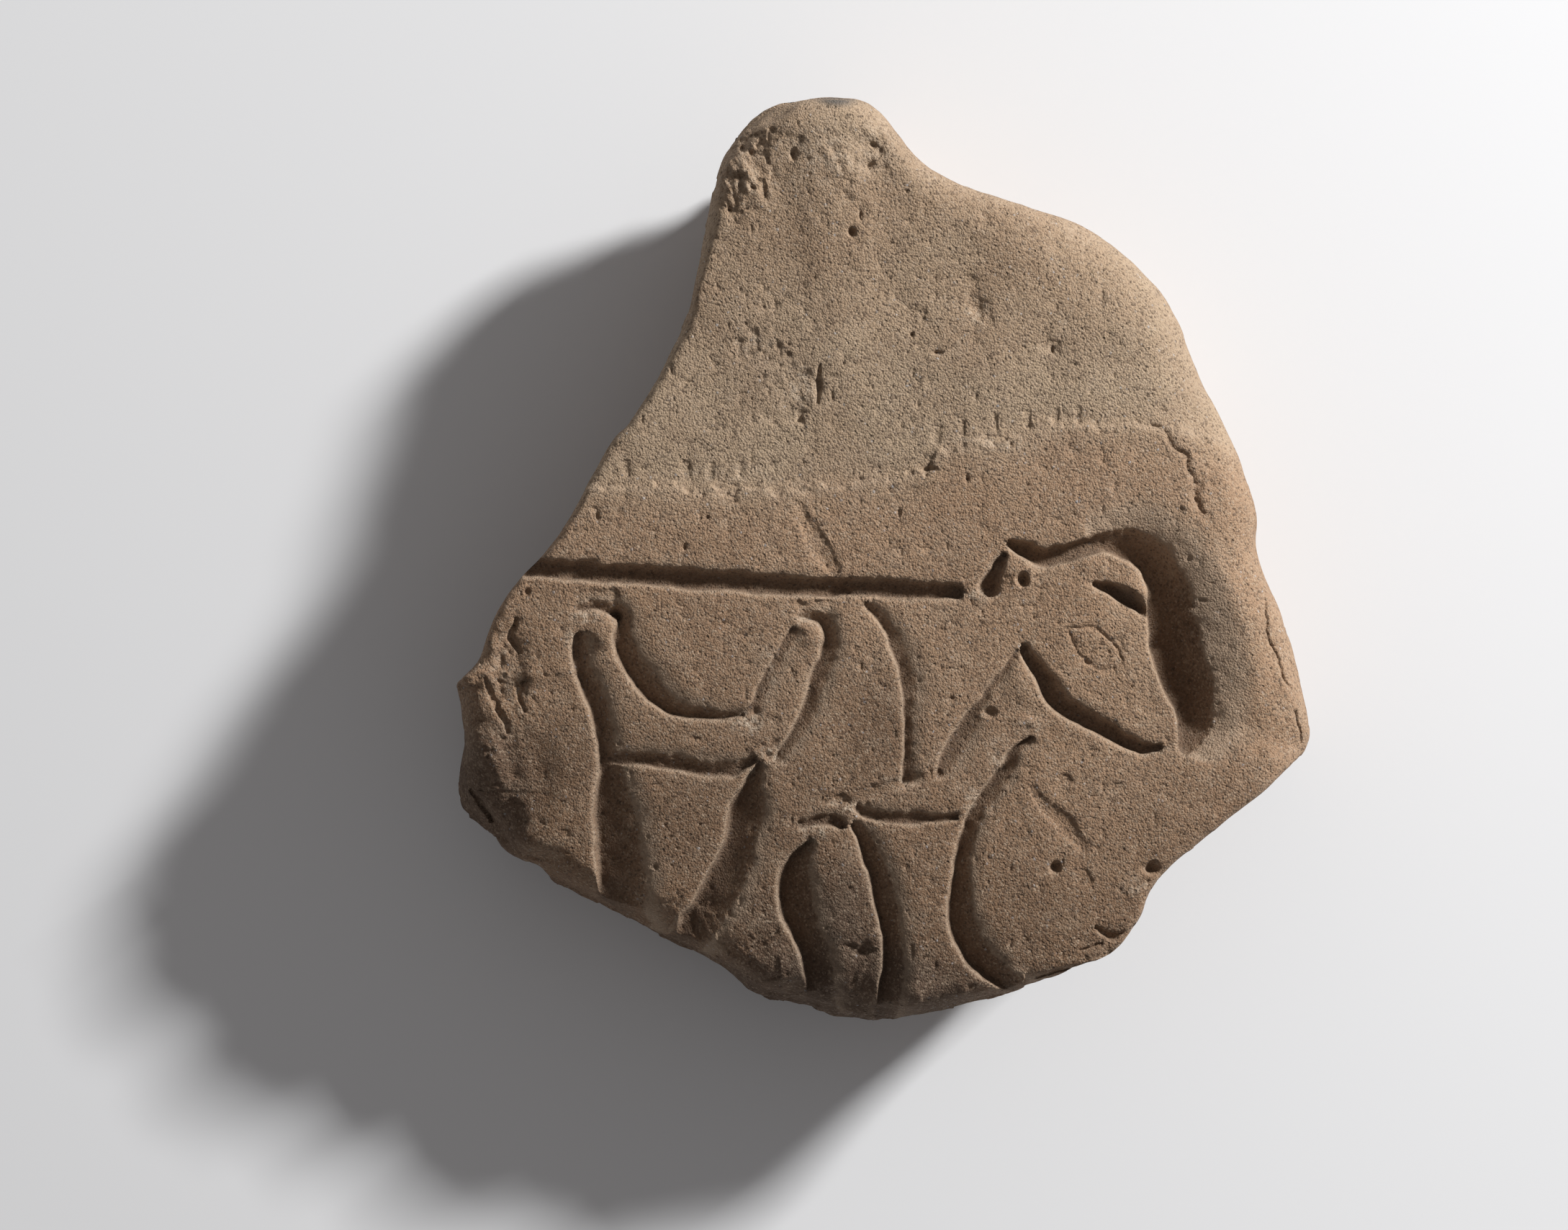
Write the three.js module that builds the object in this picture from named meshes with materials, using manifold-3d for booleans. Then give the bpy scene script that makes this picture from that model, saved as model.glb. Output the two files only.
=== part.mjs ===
// A broken slab of brown sandstone with a relief on its face. The figures are flush with the face
// and stand out by the channels cut along their outlines: a horned animal whose head points down to
// the right, a straight groove over its back, raised forelimbs, legs and curved forms below. The
// slab lies on its back, with the carved face up and the flat underside on the ground.
import * as THREE from "three";
import { mergeVertices } from "three/addons/utils/BufferGeometryUtils.js";
import Module from "manifold-3d";

const wasm = await Module();
wasm.setup();

// Driving dimensions, in millimetres.
const PANEL_WIDTH = 357; // the outline's widest span, left to right
const PANEL_THICKNESS = 95; // from the underside up to the carved face
const GROOVE_DEPTH = 6; // the straight groove over the animal's back
const FIELD_STEP = 1.5; // the dressed upper field lies this far below the smooth band

// How finely curves are drawn.
const SAMPLES_PER_STATION = 2; // corners of the outline for each station in it
const ROUNDING_STEPS = 4; // facets across the rounded edge of the face
const CHANNEL_STEP = 1.1; // distance between two sections of a channel, in units

// Places on the face are in units of a hundredth of the panel's width, x to the right and y up, from
// the lower left corner of the outline's box.
const UNIT = PANEL_WIDTH / 100;
const HEART = { x: 50, y: 45 }; // the middle of the face, which every inset runs towards

// The outline from above, counterclockwise, in stretches. The face ends at a rim, inset from the
// outline, and rounds down to the widest girth, a drop below it. The side then runs to the foot,
// inset again. Insets and feet are in units, and a drop is a share of the thickness.
const STRETCHES = [
  { name: "crown", inset: 5, drop: 0.2, foot: 3.5,
    points: [[45.3, 109.3], [40.5, 108.8], [36.1, 107.4], [31.8, 103.4], [30, 98.8]] },
  { name: "waist", inset: 1.6, drop: 0.12, foot: 3,
    points: [[28.2, 88.1], [26.6, 82.2]] },
  { name: "slanting edge", inset: 1.2, drop: 0.06, foot: 2.8,
    points: [[20.8, 71.3], [18.1, 68.1], [11.5, 56.8], [7.7, 52.9], [4.6, 48.2]] },
  { name: "left corner", inset: 4.5, drop: 0.2, foot: 1.7,
    points: [[2.7, 43.1], [0.3, 40.2], [0.7, 32.6]] },
  { name: "left lobe", inset: 9, drop: 0.5, foot: 1.2,
    points: [[0, 25.9], [2.3, 23.2]] },
  { name: "lower left slope", inset: 5, drop: 0.46, foot: 1.2,
    points: [[5.4, 20.1], [9.2, 18.4], [11.5, 16.5], [18.2, 12.9], [30, 6.8], [35, 3.2]] },
  { name: "lower edge", inset: 5.4, drop: 0.42, foot: 1.4,
    points: [[40.9, 1.5], [46.8, 0]] },
  { name: "lower right of the base", inset: 2.4, drop: 0.3, foot: 2,
    points: [[53.5, 0.6], [59.4, 1.9]] },
  { name: "lower point", inset: 1.2, drop: 0.05, foot: 4,
    points: [[72.9, 6.9], [77.1, 8.9], [80, 12.9]] },
  { name: "lower right edge", inset: 1.4, drop: 0.06, foot: 3.4,
    points: [[82.9, 18.3], [95.5, 28.6]] },
  { name: "right corner", inset: 4, drop: 0.2, foot: 2.2,
    points: [[99.6, 32.6], [99.9, 36.8], [97.2, 47.7]] },
  { name: "right edge", inset: 5, drop: 0.21, foot: 2.2,
    points: [[94.5, 55.3], [93.9, 61.2]] },
  { name: "upper right edge", inset: 8, drop: 0.24, foot: 2.2,
    points: [[90.4, 70.4], [87.3, 76.3], [84.6, 83], [80.8, 88.2], [74.5, 93.3]] },
  { name: "shoulder", inset: 4.6, drop: 0.16, foot: 2.2,
    points: [[67, 96.1], [59.8, 98.5], [54.8, 101.3]] },
  { name: "right of the crown", inset: 4.2, drop: 0.22, foot: 2.4,
    points: [[51.8, 104.9], [48.9, 108.1]] },
];

// A channel's section, as shares of its half width across and of its depth down. The wall on the
// left of its path is steep, and the other one rises gently.
const CHANNEL_SECTION = [
  [-1, 0], [-0.84, 0.55], [-0.62, 0.9], [-0.36, 1], [0.05, 0.9], [0.5, 0.52], [1, 0],
];
const DEPTH_FROM_WIDTH = 0.6; // the power by which a channel gets shallower where it narrows
const SHARPEST_TIP = 0.2; // width left at the very end of a tip, as a share of the full one

// The channels, each with its depth as a share of the groove's depth, and its stations as x, y and
// width in units. Both ends close in a round tip unless open names one that runs out over the edge.
const CHANNELS = [
  { name: "groove over the back", depth: 1, open: "end",
    stations: [[59.4, 50.8, 1.9], [40, 51.7, 2.3], [4, 54, 2.3]] },
  { name: "outline left of the forelimbs", depth: 1.35, open: "start",
    stations: [[18.3, 10, 5.6], [18.2, 20, 4.7], [17.6, 27, 2.4], [17.6, 32, 1.8],
      [16.7, 37.2, 2], [14.5, 42.5, 1.8], [14.4, 48, 1.3]] },
  { name: "bowl between the forelimbs", depth: 1.15,
    stations: [[33.8, 36.7, 0.6], [29.6, 36.5, 1.3], [25.4, 37.6, 2.2], [21.5, 41.4, 2.8],
      [19.6, 45.2, 2.3], [19.4, 48.2, 1.8], [17, 49.4, 1.2], [14, 49.2, 0.7]] },
  { name: "lower edge of the forelimbs", depth: 0.75,
    stations: [[35.3, 31.7, 0.9], [32.1, 30.2, 1.8], [24.1, 31.3, 1.7], [17.6, 31.5, 1.9]] },
  { name: "inside of the upright forelimb", depth: 0.6,
    stations: [[35, 37.5, 0.9], [36.8, 41.4, 1.4], [39.9, 46.9, 0.8]] },
  { name: "back of the upright forelimb", depth: 0.9,
    stations: [[38.5, 32.3, 1], [40.7, 36, 1.7], [43, 42.2, 2.1], [43.8, 45.6, 1.9],
      [42.8, 47.9, 1.7], [39.8, 48.3, 0.8]] },
  { name: "left of the hind leg", depth: 1.25, open: "start",
    stations: [[23, 4.4, 3.4], [30.2, 16, 3.5], [32.6, 21, 3], [33.9, 26, 3.1], [34.7, 28.6, 2],
      [35.6, 31, 1]] },
  { name: "crescent below the foot", depth: 1.2, open: "start",
    stations: [[42.8, 0, 3], [41.4, 9.2, 2.7], [39.2, 14, 3], [39.4, 18, 2.7], [40.6, 20.4, 1.4],
      [42, 22.1, 0.7]] },
  { name: "right of the oval", depth: 1.2, open: "start",
    stations: [[50, -2, 3], [51.1, 9.5, 2.7], [50, 15.8, 2.7], [48.2, 21.4, 2.1],
      [46.6, 24.2, 1]] },
  { name: "heel", depth: 0.6,
    stations: [[45.8, 23.3, 1.3], [43.8, 24.4, 1.7], [40, 23.8, 0.9]] },
  { name: "edge of the thigh", depth: 0.7,
    stations: [[52.6, 28.4, 1.7], [52.9, 31.5, 1.2], [52.9, 36, 1.2], [53, 40.2, 2],
      [51.2, 45.5, 1.6], [48, 49.7, 0.8]] },
  { name: "nick below the throat", depth: 0.55,
    stations: [[57.1, 29.9, 0.8], [58.6, 32.7, 1.1], [59.9, 35.8, 0.7]] },
  { name: "sole of the foot", depth: 0.6,
    stations: [[59, 24.7, 0.8], [53, 24.4, 1.3], [48.3, 25, 1.2], [46.6, 26, 0.8]] },
  { name: "outline of the great curve", depth: 1.4, open: "start",
    stations: [[74, 1, 2.2], [65.5, 4.9, 2.6], [61.1, 8.1, 3.2], [59.2, 12.5, 2.9], [59.3, 19, 2.3],
      [60.5, 24, 1.8], [63.6, 29, 1.8], [65.6, 32.3, 1.3], [67.8, 34.1, 0.7]] },
  { name: "jaw", depth: 1.2,
    stations: [[84, 33.3, 1], [80.5, 32.9, 1.9], [75, 35.3, 2.7], [70.6, 38.1, 2.9],
      [68.2, 41.8, 2.2], [66.4, 44.9, 1.2]] },
  { name: "hollow round the brow and muzzle", depth: 2.1,
    stations: [[85.3, 31.4, 2.5], [85.8, 36, 4.6], [84.6, 42, 6], [83.6, 48, 6], [82.1, 53.4, 4.8],
      [78.5, 56.6, 3.5], [74.5, 57, 2.2], [72, 56.4, 0.9]] },
  { name: "below the horn", depth: 1.1,
    stations: [[80.8, 46.6, 1.6], [78.9, 50, 2.3], [75.8, 51.9, 1.5], [73.3, 52.6, 0.7]] },
  { name: "over the ear", depth: 0.9,
    stations: [[73.3, 56.6, 1], [70.3, 55.6, 2], [67.5, 56, 2.8], [63.2, 56.8, 1]] },
  { name: "behind the ear", depth: 0.8,
    stations: [[62.5, 50.2, 3], [62.5, 52.4, 1.9], [63.2, 54.8, 0.7]] },
  { name: "upper line of the eye", depth: 0.2,
    stations: [[78.4, 42.9, 0.5], [77.1, 45.2, 0.5], [74.5, 47.1, 0.5], [71.8, 47.2, 0.5]] },
  { name: "lower line of the eye", depth: 0.2,
    stations: [[78.4, 42.9, 0.5], [77, 42.2, 0.5], [74.3, 42.4, 0.5], [72.6, 44.8, 0.5],
      [71.8, 47.2, 0.5]] },
  { name: "crease in the band", depth: 0.35,
    stations: [[44.6, 52.8, 0.9], [42.2, 56.6, 1.3], [40.1, 61.6, 0.8]] },
  { name: "crease in the great curve", depth: 0.25,
    stations: [[73.8, 20.6, 0.8], [71.2, 23.8, 1.2], [67, 28.4, 0.8]] },
];

// Round pits, each with its place and width in units and its depth as a share of the groove's.
const PITS = [
  { name: "ear", at: [66.1, 52.5], width: 1.9, depth: 0.75 },
  { name: "hollow of the fist", at: [18.7, 48.3], width: 2.4, depth: 0.85 },
  { name: "pit in the great curve", at: [70.1, 18.7], width: 1.9, depth: 0.6 },
];
const PIT_SIDES = 10;

// The step between the band and the dressed field above it, from left to right, in units.
const BAND_TOP = [[8, 63.2], [38, 62.7], [46, 63.5], [55.2, 65], [57, 67.5], [63.6, 68.4],
  [68, 70.4], [81, 70.6], [102, 67]];

// Sections of the outline, with their place, inset, drop and foot. The places run on one closed
// Catmull-Rom curve through the stations, and the three sizes run on another in step with it.
function outlineSections() {
  const stations = STRETCHES.flatMap((stretch) => stretch.points.map((point) => ({ point, stretch })));
  const curve = (values) => new THREE.CatmullRomCurve3(values, true, "catmullrom", 0.5);
  const places = curve(stations.map(({ point }) => new THREE.Vector3(point[0], point[1], 0)));
  const edges = curve(stations.map(({ stretch }) =>
    new THREE.Vector3(stretch.inset, stretch.drop, stretch.foot)));
  const count = stations.length * SAMPLES_PER_STATION;
  return Array.from({ length: count }, (_, index) => {
    const place = places.getPoint(index / count);
    const edge = edges.getPoint(index / count);
    return { x: place.x, y: place.y, inset: edge.x, drop: edge.y, foot: edge.z };
  });
}

// The rings of the slab's skin from the face down: two rings inside the face, the rim, the rounded
// edge, the side and the foot. A ring has one point for each section of the outline.
function slabRings(sections) {
  const ring = (inward, height) => sections.map((section) => {
    const towards = new THREE.Vector2(HEART.x - section.x, HEART.y - section.y);
    const reach = towards.length();
    const inset = inward(section, reach);
    towards.setLength(inset);
    return [section.x + towards.x, section.y + towards.y, height(section)];
  });
  const rings = [0.45, 0.8].map((share) => ring(
    (section, reach) => reach * (1 - share) + section.inset * share,
    () => 1,
  ));
  for (let step = 0; step <= ROUNDING_STEPS; step += 1) {
    const angle = (Math.PI / 2) * (step / ROUNDING_STEPS);
    rings.push(ring(
      (section) => section.inset * (1 - Math.sin(angle)),
      (section) => 1 - section.drop * (1 - Math.cos(angle)),
    ));
  }
  for (const share of [0.35, 0.7, 1]) {
    rings.push(ring(
      (section) => section.foot * share ** 2,
      (section) => (1 - section.drop) * (1 - share),
    ));
  }
  return rings;
}

// A closed skin from rings of equal count, each end closed by a fan round its own pole.
function closedSkin(rings, firstPole, lastPole) {
  const count = rings[0].length;
  const vertices = [firstPole, ...rings.flat(), lastPole];
  const last = vertices.length - 1;
  const faces = [];
  for (let index = 0; index < count; index += 1) {
    const next = (index + 1) % count;
    faces.push([0, 1 + index, 1 + next]);
    for (let ringIndex = 0; ringIndex + 1 < rings.length; ringIndex += 1) {
      const upper = 1 + ringIndex * count;
      const lower = upper + count;
      faces.push([upper + index, lower + index, lower + next]);
      faces.push([upper + index, lower + next, upper + next]);
    }
    const foot = 1 + (rings.length - 1) * count;
    faces.push([last, foot + next, foot + index]);
  }
  return solidFrom(vertices.flat(), faces.flat());
}

function solidFrom(positions, indices) {
  const mesh = new wasm.Mesh({
    numProp: 3,
    vertProperties: Float32Array.from(positions),
    triVerts: Uint32Array.from(indices),
  });
  return new wasm.Manifold(mesh);
}

// Moves a point from units on the face to millimetres about the middle of the outline's box.
function placer(sections) {
  const box = new THREE.Box2().setFromPoints(sections.map(({ x, y }) => new THREE.Vector2(x, y)));
  const middle = box.getCenter(new THREE.Vector2());
  return (x, y) => [(x - middle.x) * UNIT, (y - middle.y) * UNIT];
}

function makeSlab(sections, place) {
  const solid = ([x, y, share]) => [...place(x, y), share * PANEL_THICKNESS];
  const rings = slabRings(sections).map((ring) => ring.map(solid));
  return closedSkin(rings, solid([HEART.x, HEART.y, 1]), solid([HEART.x, HEART.y, 0]));
}

// A tip narrows as a quarter circle over a length equal to the channel's half width.
function tipShare(distance, halfWidth) {
  const run = Math.min(1, distance / halfWidth);
  return Math.max(SHARPEST_TIP, Math.sqrt(1 - (1 - run) ** 2));
}

// A channel's cutter: its section is carried along a curve through its stations, and stands above
// the face by the groove's depth so that it cuts clean.
function makeChannel({ depth, open, stations }, place) {
  const curve = new THREE.CatmullRomCurve3(
    stations.map(([x, y, width]) => new THREE.Vector3(x, y, width)), false, "centripetal");
  const length = curve.getLength();
  const steps = Math.max(4, Math.ceil(length / CHANNEL_STEP));
  const widest = Math.max(...stations.map(([, , width]) => width));
  const sections = Array.from({ length: steps + 1 }, (_, index) => {
    const share = index / steps;
    const { x, y, z: width } = curve.getPointAt(share);
    const direction = curve.getTangentAt(share);
    const leftward = new THREE.Vector2(-direction.y, direction.x).normalize();
    const half = width / 2;
    const startTip = open === "start" ? 1 : tipShare(share * length, half);
    const endTip = open === "end" ? 1 : tipShare((1 - share) * length, half);
    const tip = Math.min(startTip, endTip);
    const down = GROOVE_DEPTH * depth * (tip * width / widest) ** DEPTH_FROM_WIDTH;
    const corner = ([across, deep]) => {
      const [px, py] = place(x - leftward.x * across * half * tip, y - leftward.y * across * half * tip);
      return [px, py, PANEL_THICKNESS - deep * down];
    };
    const wall = CHANNEL_SECTION.map(corner);
    const lifted = ([px, py]) => [px, py, PANEL_THICKNESS + GROOVE_DEPTH];
    return [lifted(wall[0]), ...wall, lifted(wall.at(-1))];
  });
  return closedSkin(sections, average(sections[0]), average(sections.at(-1)));
}

function average(points) {
  return [0, 1, 2].map((axis) => points.reduce((sum, point) => sum + point[axis], 0) / points.length);
}

// A pit's cutter is a blunt cone turned about its own upright axis.
function makePit({ at, width, depth }, place) {
  const radius = (width / 2) * UNIT;
  const down = GROOVE_DEPTH * depth;
  const profile = [[0, -down], [0.55 * radius, -0.9 * down], [0.9 * radius, -0.4 * down],
    [radius, 0], [radius, GROOVE_DEPTH], [0, GROOVE_DEPTH]];
  const points = profile.map(([x, y]) => new THREE.Vector2(x, y));
  const geometry = new THREE.LatheGeometry(points, PIT_SIDES);
  geometry.rotateX(Math.PI / 2);
  geometry.translate(...place(...at), PANEL_THICKNESS);
  return solidFromGeometry(geometry);
}

// The dressed field's cutter is a plate over the whole upper face, down to the field's own level.
function makeField(place) {
  const beyond = 120;
  const corners = [...BAND_TOP, [beyond, beyond], [-beyond, beyond], [-beyond, BAND_TOP[0][1]]];
  const shape = new THREE.Shape(corners.map((corner) => new THREE.Vector2(...place(...corner))));
  const geometry = new THREE.ExtrudeGeometry(shape, {
    depth: FIELD_STEP + GROOVE_DEPTH,
    bevelEnabled: false,
  });
  geometry.translate(0, 0, PANEL_THICKNESS - FIELD_STEP);
  return solidFromGeometry(geometry);
}

function solidFromGeometry(geometry) {
  geometry.deleteAttribute("normal");
  geometry.deleteAttribute("uv");
  const merged = mergeVertices(geometry, 1e-4);
  return solidFrom(merged.attributes.position.array, merged.index.array);
}

function makeReliefSlab() {
  const sections = outlineSections();
  const place = placer(sections);
  const cutters = [
    makeField(place),
    ...CHANNELS.map((channel) => makeChannel(channel, place)),
    ...PITS.map((pit) => makePit(pit, place)),
  ];
  const carved = cutters.reduce((stone, cutter) => stone.subtract(cutter), makeSlab(sections, place));
  const { vertProperties, triVerts } = carved.getMesh();
  const geometry = new THREE.BufferGeometry();
  geometry.setAttribute("position", new THREE.BufferAttribute(Float32Array.from(vertProperties), 3));
  geometry.setIndex(new THREE.BufferAttribute(Uint32Array.from(triVerts), 1));
  geometry.computeVertexNormals();
  return geometry;
}

const sandstone = new THREE.MeshStandardMaterial({
  name: "sandstone",
  color: 0x8f745c,
  roughness: 0.95,
  metalness: 0,
});

const panel = new THREE.Group();
const reliefSlab = new THREE.Mesh(makeReliefSlab(), sandstone);
reliefSlab.name = "relief_slab";
panel.add(reliefSlab);

export default panel;
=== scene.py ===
"""Carved sandstone slab: builds the stone, its material, the floor, the light and the camera.

The stone is one closed skin. Its face is a square grid laid over the outline, its side is a band of
rings below the face's edge, and the underside closes the band to a point. Heights on the face come
from the distance to each carved channel. Places on the face are in units of a hundredth of the
panel's width, x to the right and y up, from the lower left corner of the outline's box.
"""
import math

import bpy
import numpy as np
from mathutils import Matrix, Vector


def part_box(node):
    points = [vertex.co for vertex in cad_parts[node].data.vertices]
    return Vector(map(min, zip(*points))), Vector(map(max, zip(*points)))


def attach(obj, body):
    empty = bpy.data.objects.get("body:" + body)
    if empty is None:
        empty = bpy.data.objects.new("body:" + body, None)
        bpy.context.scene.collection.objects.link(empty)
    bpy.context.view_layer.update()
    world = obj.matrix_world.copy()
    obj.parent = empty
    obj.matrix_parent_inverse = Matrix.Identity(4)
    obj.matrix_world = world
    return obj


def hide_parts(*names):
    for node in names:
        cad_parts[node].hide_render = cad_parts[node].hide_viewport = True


bl_info = {
    "name": "Carved sandstone slab",
    "version": (1, 0, 0),
    "blender": (4, 5, 0),
    "location": "View3D > Sidebar > Stone",
    "description": "A broken slab of sandstone with an animal relief, and a studio to look at it in",
    "category": "Object",
}

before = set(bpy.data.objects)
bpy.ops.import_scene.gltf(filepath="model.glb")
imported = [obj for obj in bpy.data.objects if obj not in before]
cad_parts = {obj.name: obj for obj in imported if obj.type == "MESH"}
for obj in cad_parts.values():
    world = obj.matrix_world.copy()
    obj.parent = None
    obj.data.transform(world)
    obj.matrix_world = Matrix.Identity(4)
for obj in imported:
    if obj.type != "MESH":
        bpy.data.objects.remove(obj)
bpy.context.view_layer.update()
SLAB_NODE = "relief_slab"
SLAB_LOW, SLAB_HIGH = (np.array(corner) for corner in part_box(SLAB_NODE))
PANEL_WIDTH = float(SLAB_HIGH[0] - SLAB_LOW[0])
PANEL_THICKNESS = float(SLAB_HIGH[2] - SLAB_LOW[2])

HEART = np.array([50.0, 45.0])  # the middle of the face, which every inset runs towards

# The outline, counterclockwise. A stretch has the inset of the face's rim, the drop to the widest
# girth as a share of the thickness, the inset of the foot, the roughness of the break in units, the
# sag of the face at its rim as a share of the thickness, and its stations.
STRETCHES = {
    "crown right": (4, 0.2, 4, 0.35, 0.008, [(45.3, 109.3), (40.5, 108.8)]),
    "crown left": (5, 0.3, 6.5, 0.6, 0.032, [(36.1, 107.4), (31.8, 103.4), (30, 98.8)]),
    "waist": (2, 0.14, 3.5, 0.3, 0.03, [(28.2, 88.1), (26.6, 82.2)]),
    "slanting edge": (1.4, 0.06, 2.8, 0.25, 0.01,
                      [(20.8, 71.3), (18.1, 68.1), (11.5, 56.8), (7.7, 52.9), (4.6, 48.2)]),
    "left corner": (2, 0.08, 2.4, 0.35, 0.015, [(2.7, 43.1), (0.5, 40.6)]),
    "left side": (5, 0.26, 1.7, 0.5, 0.035, [(0.1, 38.6), (0.7, 32.6)]),
    "left lobe": (8, 0.5, 1.2, 0.9, 0.075, [(0, 25.9), (2.3, 23.2)]),
    "lower left slope": (5.4, 0.46, 1.2, 0.8, 0.065,
                         [(5.4, 20.1), (9.2, 18.4), (11.5, 16.5), (18.2, 12.9), (30, 6.8), (35, 3.2)]),
    "lower edge": (7.6, 0.48, 1.4, 1, 0.06, [(40.9, 1.5), (46.8, 0)]),
    "lower right of the base": (4.4, 0.36, 2, 0.8, 0.04, [(53.5, 0.6), (59.4, 1.9)]),
    "lower point": (1.4, 0.05, 4, 0.4, 0.015, [(72.9, 6.9), (77.1, 8.9), (80, 12.9)]),
    "lower right edge": (1.8, 0.07, 3.4, 0.2, 0.01, [(82.9, 18.3), (95.5, 28.6)]),
    "right corner": (7.5, 0.22, 2.2, 0.35, 0.03, [(99.6, 32.6), (99.9, 36.8), (97.2, 47.7)]),
    "right edge": (8.5, 0.22, 2.2, 0.2, 0.03, [(94.5, 55.3), (93.9, 61.2)]),
    "upper right edge": (9.5, 0.24, 2.2, 0.12, 0.03,
                         [(90.4, 70.4), (87.3, 76.3), (84.6, 83), (80.8, 88.2), (74.5, 93.3)]),
    "shoulder": (5.4, 0.16, 2.2, 0.2, 0.02, [(67, 96.1), (59.8, 98.5), (54.8, 101.3)]),
    "right of the crown": (5, 0.22, 2.4, 0.2, 0.03, [(51.8, 104.9), (48.9, 108.1)]),
}

# Carved channels: depth as a share of the groove's depth, how far the gentle wall's edge is rounded
# off in units, the power of the gentle wall's curve, the deepest place across as a share of the half
# width, the end that runs out over the edge, and stations as x, y and width. The wall on the left of
# the path is steep.
CHANNELS = {
    "groove over the back": (1, 0.8, 4.2, -0.72, "end", [(59.4, 50.8, 1.9), (40, 51.7, 2.3), (4, 54, 2.3)]),
    "outline left of the forelimbs": (1.55, 3.4, 1.4, -0.72, "start", [
        (19.6, 10, 6), (19, 20, 5.6), (18.3, 26.5, 4.4), (17.8, 32, 2.2), (16.7, 37.2, 2.2),
        (14.6, 42.5, 2.1), (14.4, 46.4, 1.5)]),
    "bowl between the forelimbs": (1.15, 2.4, 1.1, -0.72, "", [
        (33.8, 36.7, 0.6), (29.6, 36.5, 1.3), (25.4, 37.6, 2.2), (21.5, 41.4, 2.8),
        (19.6, 45.2, 2.3), (19.4, 48.2, 1.8), (17, 49.4, 1.2), (14, 49.2, 0.7)]),
    "lower edge of the forelimbs": (0.8, 1.7, 1.5, -0.72, "", [
        (35.3, 31.7, 0.9), (32.1, 30.2, 1.8), (24.1, 31.3, 1.7), (17.6, 31.5, 1.9)]),
    "inside of the upright forelimb": (0.42, 2.4, 1.1, -0.72, "", [
        (33, 36.2, 0.9), (35, 37.7, 1.3), (36.8, 41.4, 1.6), (39.7, 46.9, 1)]),
    "back of the upright forelimb": (0.95, 2, 1.1, -0.72, "", [
        (37.5, 31, 1), (40.7, 36, 1.7), (43, 42.2, 2.1), (43.8, 45.6, 1.9), (42.8, 47.9, 1.7),
        (39.8, 48.3, 0.8)]),
    "left of the hind leg": (1.5, 2.6, 1.5, -0.72, "start", [
        (23.6, 4.4, 4.6), (30.8, 15.8, 4.8), (33.1, 21, 4), (34.2, 26, 3.8), (34.9, 28.6, 2.2),
        (36, 31.2, 1)]),
    "crescent below the foot": (1.45, 2.4, 1.3, -0.72, "start", [
        (43.2, 0, 3.8), (41.8, 9.2, 3.6), (39.7, 14, 4), (39.7, 18, 3.4), (40.7, 20.6, 1.6),
        (42, 22.1, 0.7)]),
    "right of the oval": (1.2, 2.2, 1.1, -0.72, "start", [
        (50, -2, 3), (51.1, 9.5, 2.7), (50, 15.8, 2.7), (48.2, 21.4, 2.1), (46.6, 24.2, 1)]),
    "heel": (0.6, 1, 3.6, -0.72, "", [(45.8, 23.3, 1.3), (43.8, 24.4, 1.7), (40, 23.8, 0.9)]),
    "edge of the thigh": (0.75, 2.2, 1.1, -0.72, "", [
        (52.6, 28.4, 1.7), (52.9, 31.5, 1.2), (52.9, 36, 1.2), (53, 40.2, 2), (51.2, 45.5, 1.6),
        (48, 49.7, 0.8)]),
    "from the throat to the thigh": (0.7, 1.6, 1.6, -0.72, "", [
        (56.4, 29.4, 0.9), (58.2, 32.2, 2.4), (60.2, 35.8, 2), (61.9, 38.6, 0.9), (63.8, 41.2, 0.9),
        (66, 44.2, 0.7)]),
    "sole of the foot": (0.6, 1.2, 3.0, -0.72, "", [
        (59, 24.7, 0.8), (53, 24.4, 1.3), (48.3, 25, 1.2), (46.6, 26, 0.8)]),
    "outline of the great curve": (1.4, 2, 1.1, -0.72, "start", [
        (74, 1, 2.2), (65.5, 4.9, 2.6), (61.1, 8.1, 3.2), (59.2, 12.5, 2.9), (59.3, 19, 2.3),
        (60.5, 24, 1.8), (63.6, 29, 1.8), (65.6, 32.3, 1.3), (67.8, 34.1, 0.7)]),
    "jaw": (1.2, 0.8, 4.2, -0.72, "", [
        (82.6, 32.6, 0.9), (80.2, 32.9, 1.6), (75, 35.3, 2.2), (70.6, 38.1, 2.5), (68.2, 41.8, 1.9),
        (66.2, 44.7, 1.2)]),
    "hollow round the brow and muzzle": (3, 7, 2, -0.86, "", [
        (85, 31.8, 1.4), (86.2, 34.6, 3.7), (86.2, 38, 5), (85.3, 41.4, 6), (84.2, 44.6, 6.4),
        (83.5, 48, 5.6), (82.9, 52.4, 4.8), (80.4, 55.6, 4.2), (76.5, 56.8, 2.8), (73.5, 56.5, 1.4)]),
    "below the horn": (1.1, 0.5, 4.2, -0.72, "", [
        (80.9, 48, 0.9), (79.6, 49.4, 1.8), (78, 50.6, 1.8), (76.4, 51.6, 1.4), (74.4, 52.1, 0.6)]),
    "over the ear": (1.5, 0.8, 4.2, -0.72, "", [
        (78.6, 57, 2.4), (74.6, 56.6, 2.6), (71.6, 55.6, 2.2), (68.9, 55.1, 2.3), (66.3, 55.9, 1.9),
        (64.2, 56.9, 0.9)]),
    "behind the ear": (1.1, 0.6, 4.2, -0.72, "", [
        (61.6, 50.4, 1.2), (62.3, 51.4, 2.4), (62.9, 53, 1.8), (64.2, 55.6, 0.7)]),
}

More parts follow.
